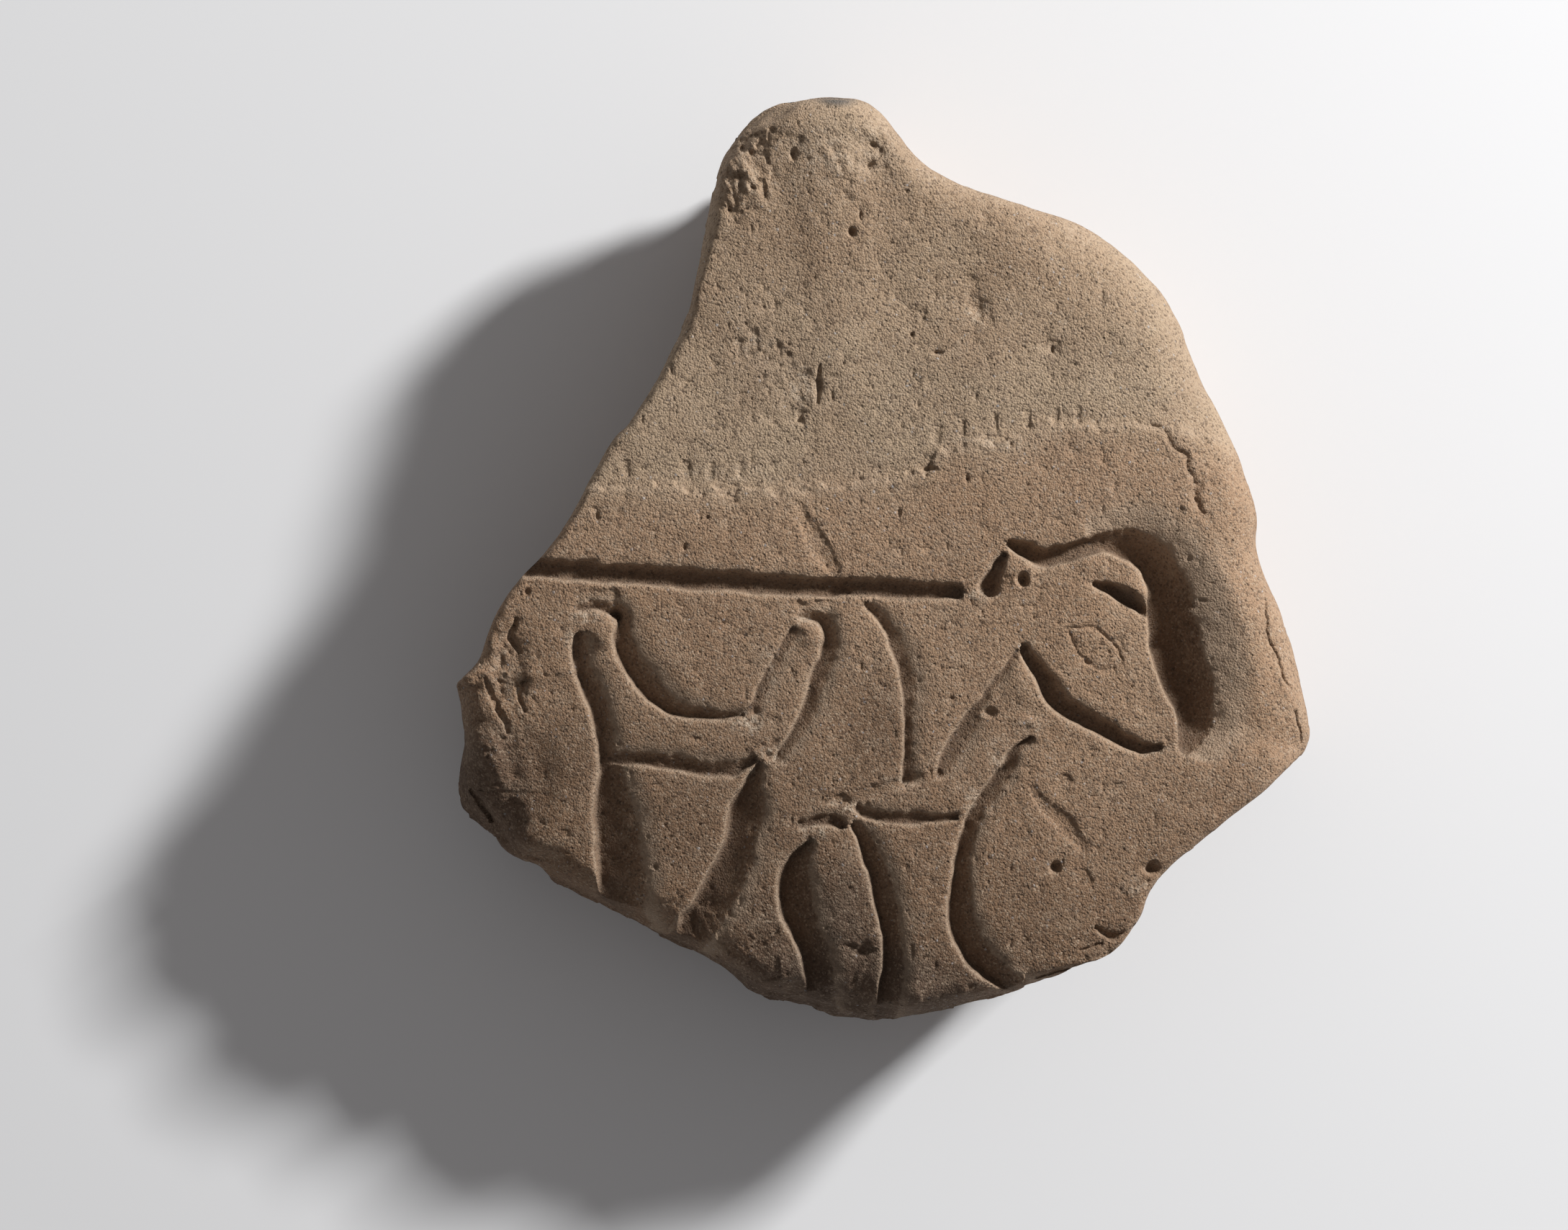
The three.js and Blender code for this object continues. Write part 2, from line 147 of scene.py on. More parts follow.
# Shallow lines, creases, scars and cracks, written as the channels are, with no open ends.
FINE_CUTS = {
    "upper line of the eye": (0.13, [
        (78.2, 42.8, 0.4), (76.9, 44.7, 0.4), (75.2, 46.2, 0.4), (73.5, 46.9, 0.4), (71.5, 46.9, 0.4)]),
    "lower line of the eye": (0.1, [
        (78.2, 42.8, 0.4), (77, 41.9, 0.4), (75.3, 41.7, 0.4), (73.8, 42.6, 0.4), (72.4, 44.7, 0.4),
        (71.5, 46.9, 0.4)]),
    "crease in the band": (0.2, [(44.6, 52.8, 1.6), (42.2, 56.6, 2.6), (41, 59.5, 1.6), (40.1, 61.6, 0.8)]),
    "sharp part of the crease": (0.22, [(42.7, 55.9, 0.4), (41.6, 58.4, 0.7), (40.5, 60.6, 0.4)]),
    "crease in the great curve": (0.2, [
        (73.8, 20.6, 0.9), (71.2, 23.8, 2), (68.7, 25.9, 1.6), (67, 28.4, 0.8)]),
    "upper edge of the foreleg": (0.22, [
        (56.9, 30.1, 0.9), (51.4, 28.4, 1.6), (47.6, 27.1, 1.3), (43.4, 25, 1)]),
    "edge of the scar": (0.3, [(42.2, 72.6, 0.4), (42.4, 75.4, 0.6), (42.6, 77.6, 0.4)]),
    "flake at the right of the band": (0.3, [
        (87.6, 59.9, 0.4), (86.6, 61.4, 0.6), (86.4, 63.6, 0.9), (85.5, 65.3, 0.5), (85.4, 66.8, 0.7),
        (84, 68.2, 0.5), (83.2, 69.9, 0.6), (81.3, 70.6, 0.4)]),
    "arc chip": (0.35, [(79.3, 12, 0.5), (77.1, 10.8, 0.9), (74.5, 12, 0.5)]),
    "crack at the lower point": (0.3, [(75.8, 10.1, 0.5), (72.9, 9.1, 0.4)]),
    "crack beside the great curve": (0.25, [(72.4, 7.4, 0.5), (67.8, 5.7, 0.4)]),
    "crack in the right edge": (0.25, [
        (97.6, 39.5, 0.3), (96.3, 41.8, 0.4), (96, 43.6, 0.3), (95, 46, 0.4), (94.8, 50.3, 0.3)]),
    "crack in the right corner": (0.25, [(99.1, 33, 0.3), (98.1, 37.2, 0.4)]),
    "crevice high on the left": (0.4, [(7.6, 43.6, 0.4), (6.5, 45.8, 0.9), (7.2, 48, 0.5)]),
    "crevice on the left": (0.35, [(8.2, 36.6, 0.4), (7.4, 38.6, 0.8), (8.2, 41, 0.5)]),
    "crevice in the left corner": (0.4, [(6.4, 34.2, 0.5), (4.8, 37.2, 1), (3.4, 41, 0.5)]),
    "crevice in the left lobe": (0.5, [(4.2, 23.8, 0.5), (3.1, 25.6, 1), (1.4, 28, 0.5)]),
}

# Places where a thin flake has come off: x, y, half width, half height, depth in metres, and the
# direction in degrees of the sharp edge, which the floor of the flake slopes down to.
FLAKES = {
    "scar in the field": (39.3, 75, 3.2, 3.8, 0.0016, 10),
    "scar's upper part": (36.4, 78, 3, 1.8, 0.0012, 60),
    "scar on the left": (33.6, 79.6, 2.6, 2, 0.0014, 120),
    "scar low on the left": (37.5, 71.6, 3.4, 1.2, 0.0012, 300),
    "patch in the field": (61, 83.6, 2.4, 2.2, 0.0015, 50),
    "patch above it": (60, 87, 1.6, 1.2, 0.001, 60),
    "dent left of the patch": (53.3, 82, 1.8, 2.4, 0.001, 20),
    "dent in the field": (69.5, 79, 1.6, 1.6, 0.001, 60),
    "crown left": (34, 101.5, 2.8, 3.2, 0.002, 60),
    "crown left, lower": (31.6, 97.4, 2, 2.6, 0.0022, 40),
    "crown middle": (39.3, 102.2, 1.8, 2.8, 0.001, 30),
    "crown right": (47.6, 102, 2.6, 2.8, 0.0012, 60),
    "deep pit's neighbour": (46.4, 95.2, 2, 2.2, 0.0009, 60),
    "right of the flake": (88.3, 62.8, 2.4, 4.4, 0.0014, 170),
    "hand of the upright limb": (41.6, 49.4, 3, 0.9, 0.0014, 60),
    "hollow right of the upright limb": (45, 50.4, 1.8, 1.4, 0.0022, 60),
    "above the fist": (16.5, 50.6, 3.2, 1, 0.0012, 60),
    "where the hind leg starts": (36.6, 32.6, 1.6, 1.4, 0.001, 50),
    "crossing of the limbs": (35.4, 35.4, 2, 1.5, 0.0008, 60),
    "above the heel": (44.6, 26.4, 2.6, 1.1, 0.0016, 80),
    "chip in the oval": (47.4, 8.9, 2.2, 1.6, 0.0014, 100),
    "chip at the lower point": (76.6, 11.4, 2.2, 1.1, 0.0022, 250),
    "chip in the edge": (81.6, 18.6, 1.8, 1.4, 0.003, 200),
    "dent in the great curve": (70.6, 27.8, 1.6, 1.8, 0.0012, 60),
    "dent beside the pit": (73.6, 17.6, 1, 1.4, 0.0012, 40),
}

# Rounded swellings and hollows of the face: x, y, half width, half height and height in metres.
SWELLS = {
    "hollow down the left side": (8.4, 30, 5, 9, -0.0018),
    "hollow beside the left corner": (6.4, 42, 3, 6, -0.002),
    "hollow under the right point": (76, 22, 8, 7, -0.001),
    "broad hollow in the field": (55, 86, 14, 10, -0.0012),
    "fist": (17.4, 46, 2.4, 2, 0.0022),
    "knuckles of the upright limb": (41.4, 45.8, 2, 2.2, 0.0012),
    "ear": (65.8, 53.2, 2.8, 2.4, 0.0016),
    "root of the horn": (74.6, 54.2, 3.4, 1.8, 0.001),
    "end of the horn": (79.4, 51, 2.6, 2.1, 0.004),
    "cheek": (73, 48.4, 7, 6, 0.0008),
    "paw": (66.4, 39.8, 3.2, 3.2, 0.0018),
    "thumb of the paw": (66.6, 35.8, 2.4, 1.2, 0.001),
    "back of the foot": (44, 19, 5, 6, 0.0008),
}

# Crumbled, paler places: x, y, half width, half height and strength.
CRUMBLED = {
    "over the fist": (15, 48, 3, 1.2, 0.9),
    "left of the fist": (13.3, 45.4, 1.1, 2.6, 0.7),
    "upright limb's hand": (40.2, 47.6, 2.2, 1.2, 0.9),
    "upright limb's left edge": (36.6, 42, 1.4, 5, 0.6),
    "crossing of the limbs": (34.2, 35.6, 2.8, 1.8, 1),
    "right of the crossing": (36.8, 31.8, 2.4, 1.8, 1),
    "below the crossing": (34.6, 29.6, 1.2, 1.2, 0.7),
    "heel": (42, 22.8, 2.8, 1.4, 0.9),
    "above the heel": (45.6, 25.8, 3, 1.3, 0.9),
    "foreleg's root": (51.4, 28.6, 2.6, 1.2, 0.8),
    "throat": (66.6, 44.2, 1.4, 1.4, 0.6),
    "left of the ear": (64, 54, 2, 1.8, 0.3),
    "groove's end": (61.2, 50.6, 3.6, 1, 0.7),
    "paw's lower edge": (67.2, 35.2, 2.8, 1.3, 0.7),
    "great curve's top": (63.2, 32.2, 1.6, 2.8, 0.8),
    "great curve's left edge": (60.2, 26.8, 1.3, 3, 0.6),
    "below the muzzle": (82, 32.2, 2.6, 1.1, 0.7),
    "below the right pit": (79.6, 16.6, 2.4, 1.4, 0.7),
    "scar": (40.4, 75, 2.6, 4.2, 0.8),
    "scar on the left": (35, 79.8, 3, 2, 0.7),
    "crown right": (49.4, 103.4, 3.4, 4.4, 0.5),
    "step on the right": (63, 68.2, 9, 1.4, 0.5),
    "step on the left": (31, 64.6, 9, 1.5, 0.5),
    "patch in the field": (61, 83.8, 2.6, 2.2, 0.7),
    "shoulder": (73.4, 93, 4, 2.6, 0.4),
    "left crevices": (6.5, 41, 4, 9, 0.4),
    "crown left": (33.4, 99.8, 4, 6, 0.4),
    "crown": (42, 102, 9, 6, 0.5),
}

# Patches that darken the face, as x, y, half width, half height and strength; negative ones lighten it. The
# brow's hollow, the left lobe and the base strip are painted shade.
DARKENING_AND_SHADE = {
    "thigh": (50, 36, 7, 10, 0.45),
    "oval": (46, 13, 7, 10, 0.9),
    "base strip": (45, 2, 24, 10, 1.9),
    "between crescent and slope": (36, 12, 6, 7, 0.4),
    "left lobe": (3.5, 27, 9, 12, 2),
    "between the legs": (28, 23, 8, 8, 0.05),
    "hollow of the brow": (86.5, 44, 6.4, 15, 1),
    "left field": (11, 38, 5, 9, -0.05),
    "lower right": (76, 26, 14, 12, -0.25),
}

# Pits as x, y, width, length up the face and depth as a share of the groove's depth.
PITS = {
    "ear": (66.2, 52.5, 2, 2.2, 1),
    "fist": (18.7, 48.3, 2.2, 2.2, 0.85),
    "great curve": (70.1, 18.7, 1.9, 1.8, 0.8),
    "oval": (47.6, 8.9, 2.6, 1.8, 0.3),
    "below the right point": (81.3, 18.7, 2.6, 1.8, 0.6),
    "deep one under the crown": (46.2, 93.1, 1.3, 1.5, 0.7),
    "beside the deep one": (47.3, 94.9, 0.6, 1.5, 0.4),
    "left of the crown": (33.4, 99.6, 1.6, 1.5, 0.5),
    "left of the crown, higher": (33.5, 102.8, 1.2, 1.2, 0.4),
    "left of the crown, lower": (34.6, 98.2, 0.9, 0.9, 0.35),
    "left of the crown, lowest": (32.1, 95.6, 0.8, 0.8, 0.3),
    "crown right": (48.1, 100.8, 1.8, 1.7, 0.4),
    "crown right, higher": (48.7, 103.2, 1.3, 1.1, 0.3),
    "crown middle": (39.5, 101.9, 1, 2.1, 0.35),
    "crown top": (37.1, 105, 1, 1, 0.3),
    "slot in the field": (56.5, 78.8, 1.6, 0.6, 0.3),
    "scratched patch": (61.1, 83.9, 2, 2.2, 0.25),
    "field middle": (53.4, 80.9, 0.7, 0.7, 0.3),
    "field right": (69.7, 79.2, 0.7, 1, 0.3),
    "wedge at the step": (55.6, 65.2, 2.4, 0.8, 0.4),
    "band right": (59.7, 64.1, 0.7, 1.3, 0.25),
    "band middle": (51.8, 60.1, 0.8, 1.5, 0.25),
    "band left": (26.9, 56, 0.7, 1.3, 0.25),
    "band left, higher": (29.6, 59.7, 0.7, 0.7, 0.25),
    "band far left": (16.7, 59.9, 0.7, 1.3, 0.3),
    "below the groove": (8.6, 50.9, 1.1, 1.1, 0.35),
    "between the legs": (23.4, 18.7, 0.7, 1, 0.3),
    "below the throat": (57.9, 38.5, 0.7, 0.7, 0.25),
    "beside the flake": (87, 63.3, 1, 2, 0.3),
    "paw": (62.5, 36.8, 2, 1.6, 0.45),
    "hind leg's top": (36.7, 31.8, 1.6, 1.1, 0.2),
    "elbow": (35, 37.2, 1.2, 1.1, 0.2),
}

# The step between the band and the dressed field above it, from left to right.
BAND_TOP = [(8, 63.2), (15.8, 63.3), (38, 62.7), (46, 63.5), (55.2, 65), (57, 67.5), (63.6, 68.4),
            (68, 70.4), (81, 70.6), (102, 67)]
# Punched dents just above the step, each drawn downwards from its place.
STEP_DENTS = [(19.9, 66.4), (27.1, 66.4), (30, 66.2), (33.4, 66.4), (56.5, 70.6), (59.4, 71.2),
              (63.2, 71.8), (67, 72.3), (70.3, 72.6), (72.9, 72.9)]

# A channel's profile.
STEEP_POWER = 2.6
LIP_SLOPE = 0.24
CRUMBLE = 0.0005
DEPTH_FROM_WIDTH = 0.6
SHARPEST_TIP = 0.2
WORN_WIDTH = 1.7

# The face sags from this share of the way to its rim, and its edge rounds off with this power.
SAG_START = 0.35
ROUNDING_POWER = 2.7

# How finely the skin is worked out before it is thinned, and what it is thinned to.
FACE_RINGS = 290
ROUNDING_RINGS = 50
SIDE_RINGS = 56
BASE_RINGS = 14
MOST_TRIANGLES = 195_000

# Colours of the patches in the stone and of its few bright grains, the middle of the picture in
# metres, and half the floor's side.
RUSTY_PATCH = (0.24, 0.15, 0.095, 1.0)
BROAD_PATCH = (0.3, 0.18, 0.105, 1.0)
GLINT = (0.45, 0.46, 0.48, 1.0)
PICTURE_MIDDLE = (-0.0417, -0.02295)
FLOOR_HALF = 6.0


class StoneSizes(bpy.types.PropertyGroup):
    """Sizes of the carving that a user would change."""

    groove_depth: bpy.props.FloatProperty(
        name="Groove depth", description="Depth of the straight groove over the animal's back",
        default=0.006, unit="LENGTH")
    field_step: bpy.props.FloatProperty(
        name="Field step", description="How far the dressed field lies below the smooth band",
        default=0.0015, unit="LENGTH")
    worn_edge: bpy.props.FloatProperty(
        name="Worn edge", description="How far the stone droops at a channel's steep edge",
        default=0.0012, unit="LENGTH")
    break_roughness: bpy.props.FloatProperty(
        name="Break roughness", description="Height of the lumps on the broken sides",
        default=0.003, unit="LENGTH")


class StoneColours(bpy.types.PropertyGroup):
    """Colours of the sandstone."""

    carved: bpy.props.FloatVectorProperty(
        name="Carved face", description="Warm brown of the band and the carved figures",
        subtype="COLOR", size=4, default=(0.365, 0.238, 0.15, 1.0))
    # Painted shade in part: this darker brown is mixed in over the lower left, the broken sides and the
    # brow's hollow.
    low: bpy.props.FloatVectorProperty(
        name="Grimy lower face", description="Darker brown towards the lower left of the face",
        subtype="COLOR", size=4, default=(0.165, 0.1, 0.06, 1.0))
    field: bpy.props.FloatVectorProperty(
        name="Dressed field", description="Greyer beige of the upper field",
        subtype="COLOR", size=4, default=(0.4, 0.296, 0.2, 1.0))
    # Pale grains, and also the colour of the painted highlight on edges and on the step's crest.
    pale_grains_and_highlight: bpy.props.FloatVectorProperty(
        name="Pale grains", description="Pale sand grains and rubbed edges",
        subtype="COLOR", size=4, default=(0.43, 0.33, 0.24, 1.0))
    # Dark grains, and also the colour of the painted shade in the channels and on the darkest places.
    dark_grains_and_shade: bpy.props.FloatVectorProperty(
        name="Dark grains", description="Dark grains and dust that sits in the cuts",
        subtype="COLOR", size=4, default=(0.08, 0.052, 0.036, 1.0))
    crumbs: bpy.props.FloatVectorProperty(
        name="Crumbled places", description="Pale dust on the crumbled edges",
        subtype="COLOR", size=4, default=(0.55, 0.45, 0.345, 1.0))
    stain: bpy.props.FloatVectorProperty(
        name="Stain", description="Dark grey stain on the crown",
        subtype="COLOR", size=4, default=(0.09, 0.085, 0.08, 1.0))


class StudioSettings(bpy.types.PropertyGroup):
    """Floor, light and camera."""

    camera_height: bpy.props.FloatProperty(
        name="Camera height", description="Distance from the carved face to the camera",
        default=3.0, unit="LENGTH")
    view_width: bpy.props.FloatProperty(
        name="View width", description="Width of the picture at the carved face",
        default=0.6534, unit="LENGTH")
    light_elevation: bpy.props.FloatProperty(
        name="Light elevation", description="Height of the raking light above the floor",
        default=math.radians(27), subtype="ANGLE", unit="ROTATION")
    light_azimuth: bpy.props.FloatProperty(
        name="Light azimuth", description="Direction of the raking light, from the right towards the top",
        default=math.radians(35), subtype="ANGLE", unit="ROTATION")
    light_distance: bpy.props.FloatProperty(
        name="Light distance", description="Distance of the raking light from the stone",
        default=3.8, unit="LENGTH")
    light_size: bpy.props.FloatProperty(
        name="Light size", description="Side of the raking light's panel",
        default=0.45, unit="LENGTH")
    light_power: bpy.props.FloatProperty(
        name="Light power", description="Power of the raking light", default=236.0, unit="POWER")
    fill: bpy.props.FloatProperty(
        name="Fill", description="Strength of the even light from all round", default=0.2)


def closed_curve(stations, count):
    """Catmull-Rom curve through closed stations, at places an equal arc length apart.

    Between stations b and c, with a before and d after, the point at share t is
    (2b + (c - a) t + (2a - 5b + 4c - d) t^2 + (3b - a - 3c + d) t^3) / 2.
    """
    t = np.linspace(0, 1, 60, endpoint=False)[None, :, None]
    b = stations[:, None, :]
    a, c, d = (np.roll(stations, shift, axis=0)[:, None, :] for shift in (1, -1, -2))
    curve = (2 * b + (c - a) * t + (2 * a - 5 * b + 4 * c - d) * t**2 + (3 * b - a - 3 * c + d) * t**3) / 2
    curve = curve.reshape(-1, stations.shape[1])
    curve = np.vstack([curve, curve[:1]])
    step = np.hypot(*np.diff(curve[:, :2], axis=0).T)
    travelled = np.concatenate([[0], np.cumsum(step)])
    wanted = np.linspace(0, travelled[-1], count, endpoint=False)
    return np.stack([np.interp(wanted, travelled, column) for column in curve.T], axis=1)


def open_curve(stations, spacing):
    """Centripetal Catmull-Rom curve through open stations, at places an equal arc length apart.

    Each pair of stations is joined by a cubic whose end slopes are the mean slopes on either side,
    weighted by the square roots of the distances. The first and last stations are mirrored outwards.
    """
    points = np.array(stations, float)
    points = np.vstack([2 * points[0] - points[1], points, 2 * points[-1] - points[-2]])
    t = np.linspace(0, 1, 80, endpoint=False)[:, None]
    pieces = []
    for a, b, c, d in zip(points, points[1:], points[2:], points[3:]):
        before, between, after = (math.sqrt(np.linalg.norm(q - p)) for p, q in ((a, b), (b, c), (c, d)))
        leave = ((b - a) / before - (c - a) / (before + between) + (c - b) / between) * between
        arrive = ((c - b) / between - (d - b) / (between + after) + (d - c) / after) * between
        pieces.append(b + leave * t + (3 * (c - b) - 2 * leave - arrive) * t**2
                      + (2 * (b - c) + leave + arrive) * t**3)
    curve = np.vstack(pieces + [points[-2:-1]])
    step = np.hypot(*np.diff(curve[:, :2], axis=0).T)
    travelled = np.concatenate([[0], np.cumsum(step)])
    count = max(8, int(travelled[-1] / spacing))
    wanted = np.linspace(0, travelled[-1], count)
    return np.stack([np.interp(wanted, travelled, column) for column in curve.T], axis=1)


def lattice_value(cell, seed):
    """A fixed value between -1 and 1 for each whole-numbered cell, from mixed integer products."""
    mixed = (cell[..., 0] * 73856093) ^ (cell[..., 1] * 19349663)
    mixed = mixed ^ (cell[..., 2] * 83492791) ^ (seed * 2654435)
    mixed = ((mixed ^ (mixed >> 13)) * 1274126177) & 0x7FFFFFFF
    mixed = ((mixed ^ (mixed >> 15)) * 668265263) & 0x7FFFFFFF
    return mixed / 0x3FFFFFFF - 1.0


def noise(points, size, seed):
    """Smooth noise: lattice values a size apart, blended by 6t^5 - 15t^4 + 10t^3 along each axis."""
    scaled = points / size
    low = np.floor(scaled).astype(np.int64)
    share = scaled - low
    share = share**3 * (share * (share * 6 - 15) + 10)
    total = np.zeros(len(points))
    for corner in np.ndindex(2, 2, 2):
        weight = np.prod(np.where(corner, share, 1 - share), axis=1)
        total += weight * lattice_value(low + np.array(corner), seed)
    return total


def layered_noise(points, size, seed, layers=3, fade=0.5):
    """Sum of noise at size, size/2, size/4 and so on, each fade times as high as the one before."""
    total = sum(fade**layer * noise(points, size / 2**layer, seed + layer) for layer in range(layers))
    return total / sum(fade**layer for layer in range(layers))


def facets(points, size, seed):
    """Broken faces: every point takes the tilt of its nearest jittered cell centre.

    The value is the dot product of the offset from that centre with the cell's own random slope,
    plus a random level, so that a cell is a flat face and two cells meet in an edge.
    """
    scaled = points / size
    home = np.floor(scaled).astype(np.int64)
    nearest = np.full(len(points), np.inf)
    value = np.zeros(len(points))
    for shift in np.ndindex(3, 3, 3):
        cell = home + np.array(shift) - 1
        jitter = np.stack([lattice_value(cell, seed + axis) for axis in range(3)], axis=1) * 0.45
        offset = scaled - (cell + 0.5 + jitter)
        distance = np.einsum("ij,ij->i", offset, offset)
        closer = distance < nearest
        slope = np.stack([lattice_value(cell[closer], seed + 7 + axis) for axis in range(3)], axis=1)
        level = lattice_value(cell[closer], seed + 11)
        value[closer] = np.einsum("ij,ij->i", offset[closer], slope) + 0.5 * level
        nearest[closer] = distance[closer]
    return value


def smooth_step(value, low, high):
    """0 below low, 1 above high, and 3t^2 - 2t^3 between."""
    t = np.clip((value - low) / (high - low), 0, 1)
    return t * t * (3 - 2 * t)


def outline_table():
    """Stations as rows of x, y, inset, drop, foot, roughness and sag."""
    return np.array([
        (*point, inset, drop, foot, rough, sag)
        for inset, drop, foot, rough, sag, points in STRETCHES.values()
        for point in points
    ], float)


class Face:
    """Turns places in units into metres about the middle of the outline's box."""

    def __init__(self):
        """Draws the outline, starting at the place 45 degrees below the right of the heart."""
        outline = closed_curve(outline_table(), 8 * (FACE_RINGS + ROUNDING_RINGS))
        bearing = np.arctan2(*(outline[:, :2] - HEART).T[::-1])
        self.outline = np.roll(outline, -int(np.argmin(np.abs(bearing + math.pi / 4))), axis=0)
        low, high = self.outline[:, :2].min(0), self.outline[:, :2].max(0)
        self.unit = PANEL_WIDTH / (high[0] - low[0])
        self.middle = (low + high) / 2
        self.place_of_box = (SLAB_LOW[:2] + SLAB_HIGH[:2]) / 2

    def place(self, units):
        """Metres from units."""
        return (np.asarray(units, float) - self.middle) * self.unit + self.place_of_box

    def units(self, metres):
        """Units from metres."""
        return (metres - self.place_of_box) / self.unit + self.middle


def skin_grid(face):
    """The upper skin as a square grid of (2n + 1) squared points, and its edge's order.

    A grid point (a, b) lies on the square ring r = max(|a|, |b|), at share s of that square's
    perimeter, counterclockwise from its lower right corner. Up to the face's rim its place is
    heart + (r / rim ring) (rim(s) - heart). Beyond, with q from 0 to a right angle, it moves from the
    rim to the girth by inset (1 - sin q) and sinks by drop (1 - sqrt(1 - (sin q)^2.7)). The face
    also sags towards the rim, by sag times the square of the way beyond a third of the rim's distance.
    """
    rings = FACE_RINGS + ROUNDING_RINGS
    a, b = np.meshgrid(np.arange(-rings, rings + 1), np.arange(-rings, rings + 1))
    a, b = a.ravel(), b.ravel()
    r = np.maximum(np.abs(a), np.abs(b))
    along = np.select(
        [(a == r) & (b < r), (b == r) & (a > -r), (a == -r) & (b > -r)],
        [b + r, 3 * r - a, 5 * r - b],
        7 * r + a,
    )
    share = np.where(r > 0, along / np.maximum(8 * r, 1), 0)
    count = len(face.outline)
    looped = np.vstack([face.outline, face.outline[:1]])
    place_round = share * count
    stations = np.arange(count + 1)
    section = np.stack([np.interp(place_round, stations, column) for column in looped.T], axis=1)
    girth, inset, drop, sag = section[:, :2], section[:, 2:3], section[:, 3], section[:, 6]
    inward = HEART - girth
    inward /= np.linalg.norm(inward, axis=1, keepdims=True)
    rim = girth + inward * inset
    on_face = r <= FACE_RINGS
    q = np.clip((r - FACE_RINGS) / ROUNDING_RINGS, 0, 1) * math.pi / 2
    outward = np.sin(q)
    across = np.where(on_face[:, None], HEART + (r / FACE_RINGS)[:, None] * (rim - HEART),
                      girth + inward * inset * (1 - outward)[:, None])
    reach = np.linalg.norm(across - HEART, axis=1) / np.linalg.norm(rim - HEART, axis=1)
    sagging = sag * (np.clip(reach - SAG_START, 0, None) / (1 - SAG_START)) ** 2
    height = PANEL_THICKNESS * (1 - sagging - (drop - sag) * (1 - np.sqrt(1 - outward**ROUNDING_POWER)))
    points = np.column_stack([face.place(across), height])
    edge = np.zeros(8 * rings, int)
    at_edge = np.flatnonzero(r == rings)
    edge[along[at_edge]] = at_edge
    rough = section[:, 5] * smooth_step(r, FACE_RINGS * 0.86, rings) * face.unit
    return points, PANEL_THICKNESS * (1 - sagging), edge, rough


def side_and_base(face, points, edge):
    """Rings below the girth, as an array of ring by place round.

    The side runs from girth to foot by foot inset s^2 as it sinks by s, a share of the way down. The
    base runs in from the foot on the level of the ground.
    """
    girth = points[edge]
    foot = face.outline[:, 4] * face.unit
    rough = face.outline[:, 5] * face.unit
    heart = face.place(HEART)
    inward = heart - girth[:, :2]
    reach = np.linalg.norm(inward, axis=1)
    inward /= reach[:, None]
    rings, roughs = [], []
    for s in np.arange(1, SIDE_RINGS + 1) / SIDE_RINGS:
        place = girth[:, :2] + inward * (foot * s**2)[:, None]
        rings.append(np.column_stack([place, girth[:, 2] * (1 - s)]))
        roughs.append(rough)
    foot_ring = rings[-1]
    for s in np.arange(1, BASE_RINGS) / BASE_RINGS:
        place = foot_ring[:, :2] + (heart - foot_ring[:, :2]) * s
        rings.append(np.column_stack([place, np.zeros(len(place))]))
        roughs.append(rough * 0)
    return np.array(rings), np.array(roughs), np.array([*heart, 0.0])


def skin_faces(ring_side, edge, ring_count):
    """Quads of the square grid, of the bands below its edge, and triangles round the last point."""
    index = np.arange(ring_side * ring_side).reshape(ring_side, ring_side)
    top = np.stack([index[:-1, :-1], index[:-1, 1:], index[1:, 1:], index[1:, :-1]], axis=-1).reshape(-1, 4)
    first = ring_side * ring_side
    count = len(edge)
    bands = np.vstack([edge, first + np.arange(ring_count * count).reshape(ring_count, count)])
    following = np.roll(bands, -1, axis=1)
    side = np.stack([bands[:-1], bands[1:], following[1:], following[:-1]], axis=-1).reshape(-1, 4)
    pole = first + ring_count * count
    fan = np.stack([bands[-1], np.full(count, pole), following[-1]], axis=-1)
    return np.vstack([top, side]), fan


def fill_mesh(mesh, points, quads, triangles):
    """Puts arrays of points, quads and triangles into an empty mesh, shaded smooth."""
    mesh.vertices.add(len(points))
    mesh.vertices.foreach_set("co", points.astype(np.float32).ravel())
    corners = np.concatenate([quads.ravel(), triangles.ravel()]).astype(np.int32)
    mesh.loops.add(len(corners))
    mesh.loops.foreach_set("vertex_index", corners)
    sizes = np.concatenate([np.full(len(quads), 4), np.full(len(triangles), 3)])
    starts = np.concatenate([[0], np.cumsum(sizes)[:-1]]).astype(np.int32)
    mesh.polygons.add(len(sizes))
    mesh.polygons.foreach_set("loop_start", starts)
    mesh.polygons.foreach_set("use_smooth", np.ones(len(sizes), bool))
    mesh.update(calc_edges=True)
    mesh.validate()


def read_points(mesh, attribute="co"):
    """A mesh's points, or their normals, as rows of three numbers."""
    values = np.empty(len(mesh.vertices) * 3, np.float32)
    mesh.vertices.foreach_get(attribute, values)
    return values.reshape(-1, 3).astype(float)


def tip_share(distance, half):
    """A tip narrows as a quarter circle over a length equal to the half width."""
    run = np.clip(distance / half, 0, 1)
    return np.maximum(SHARPEST_TIP, np.sqrt(1 - (1 - run) ** 2))


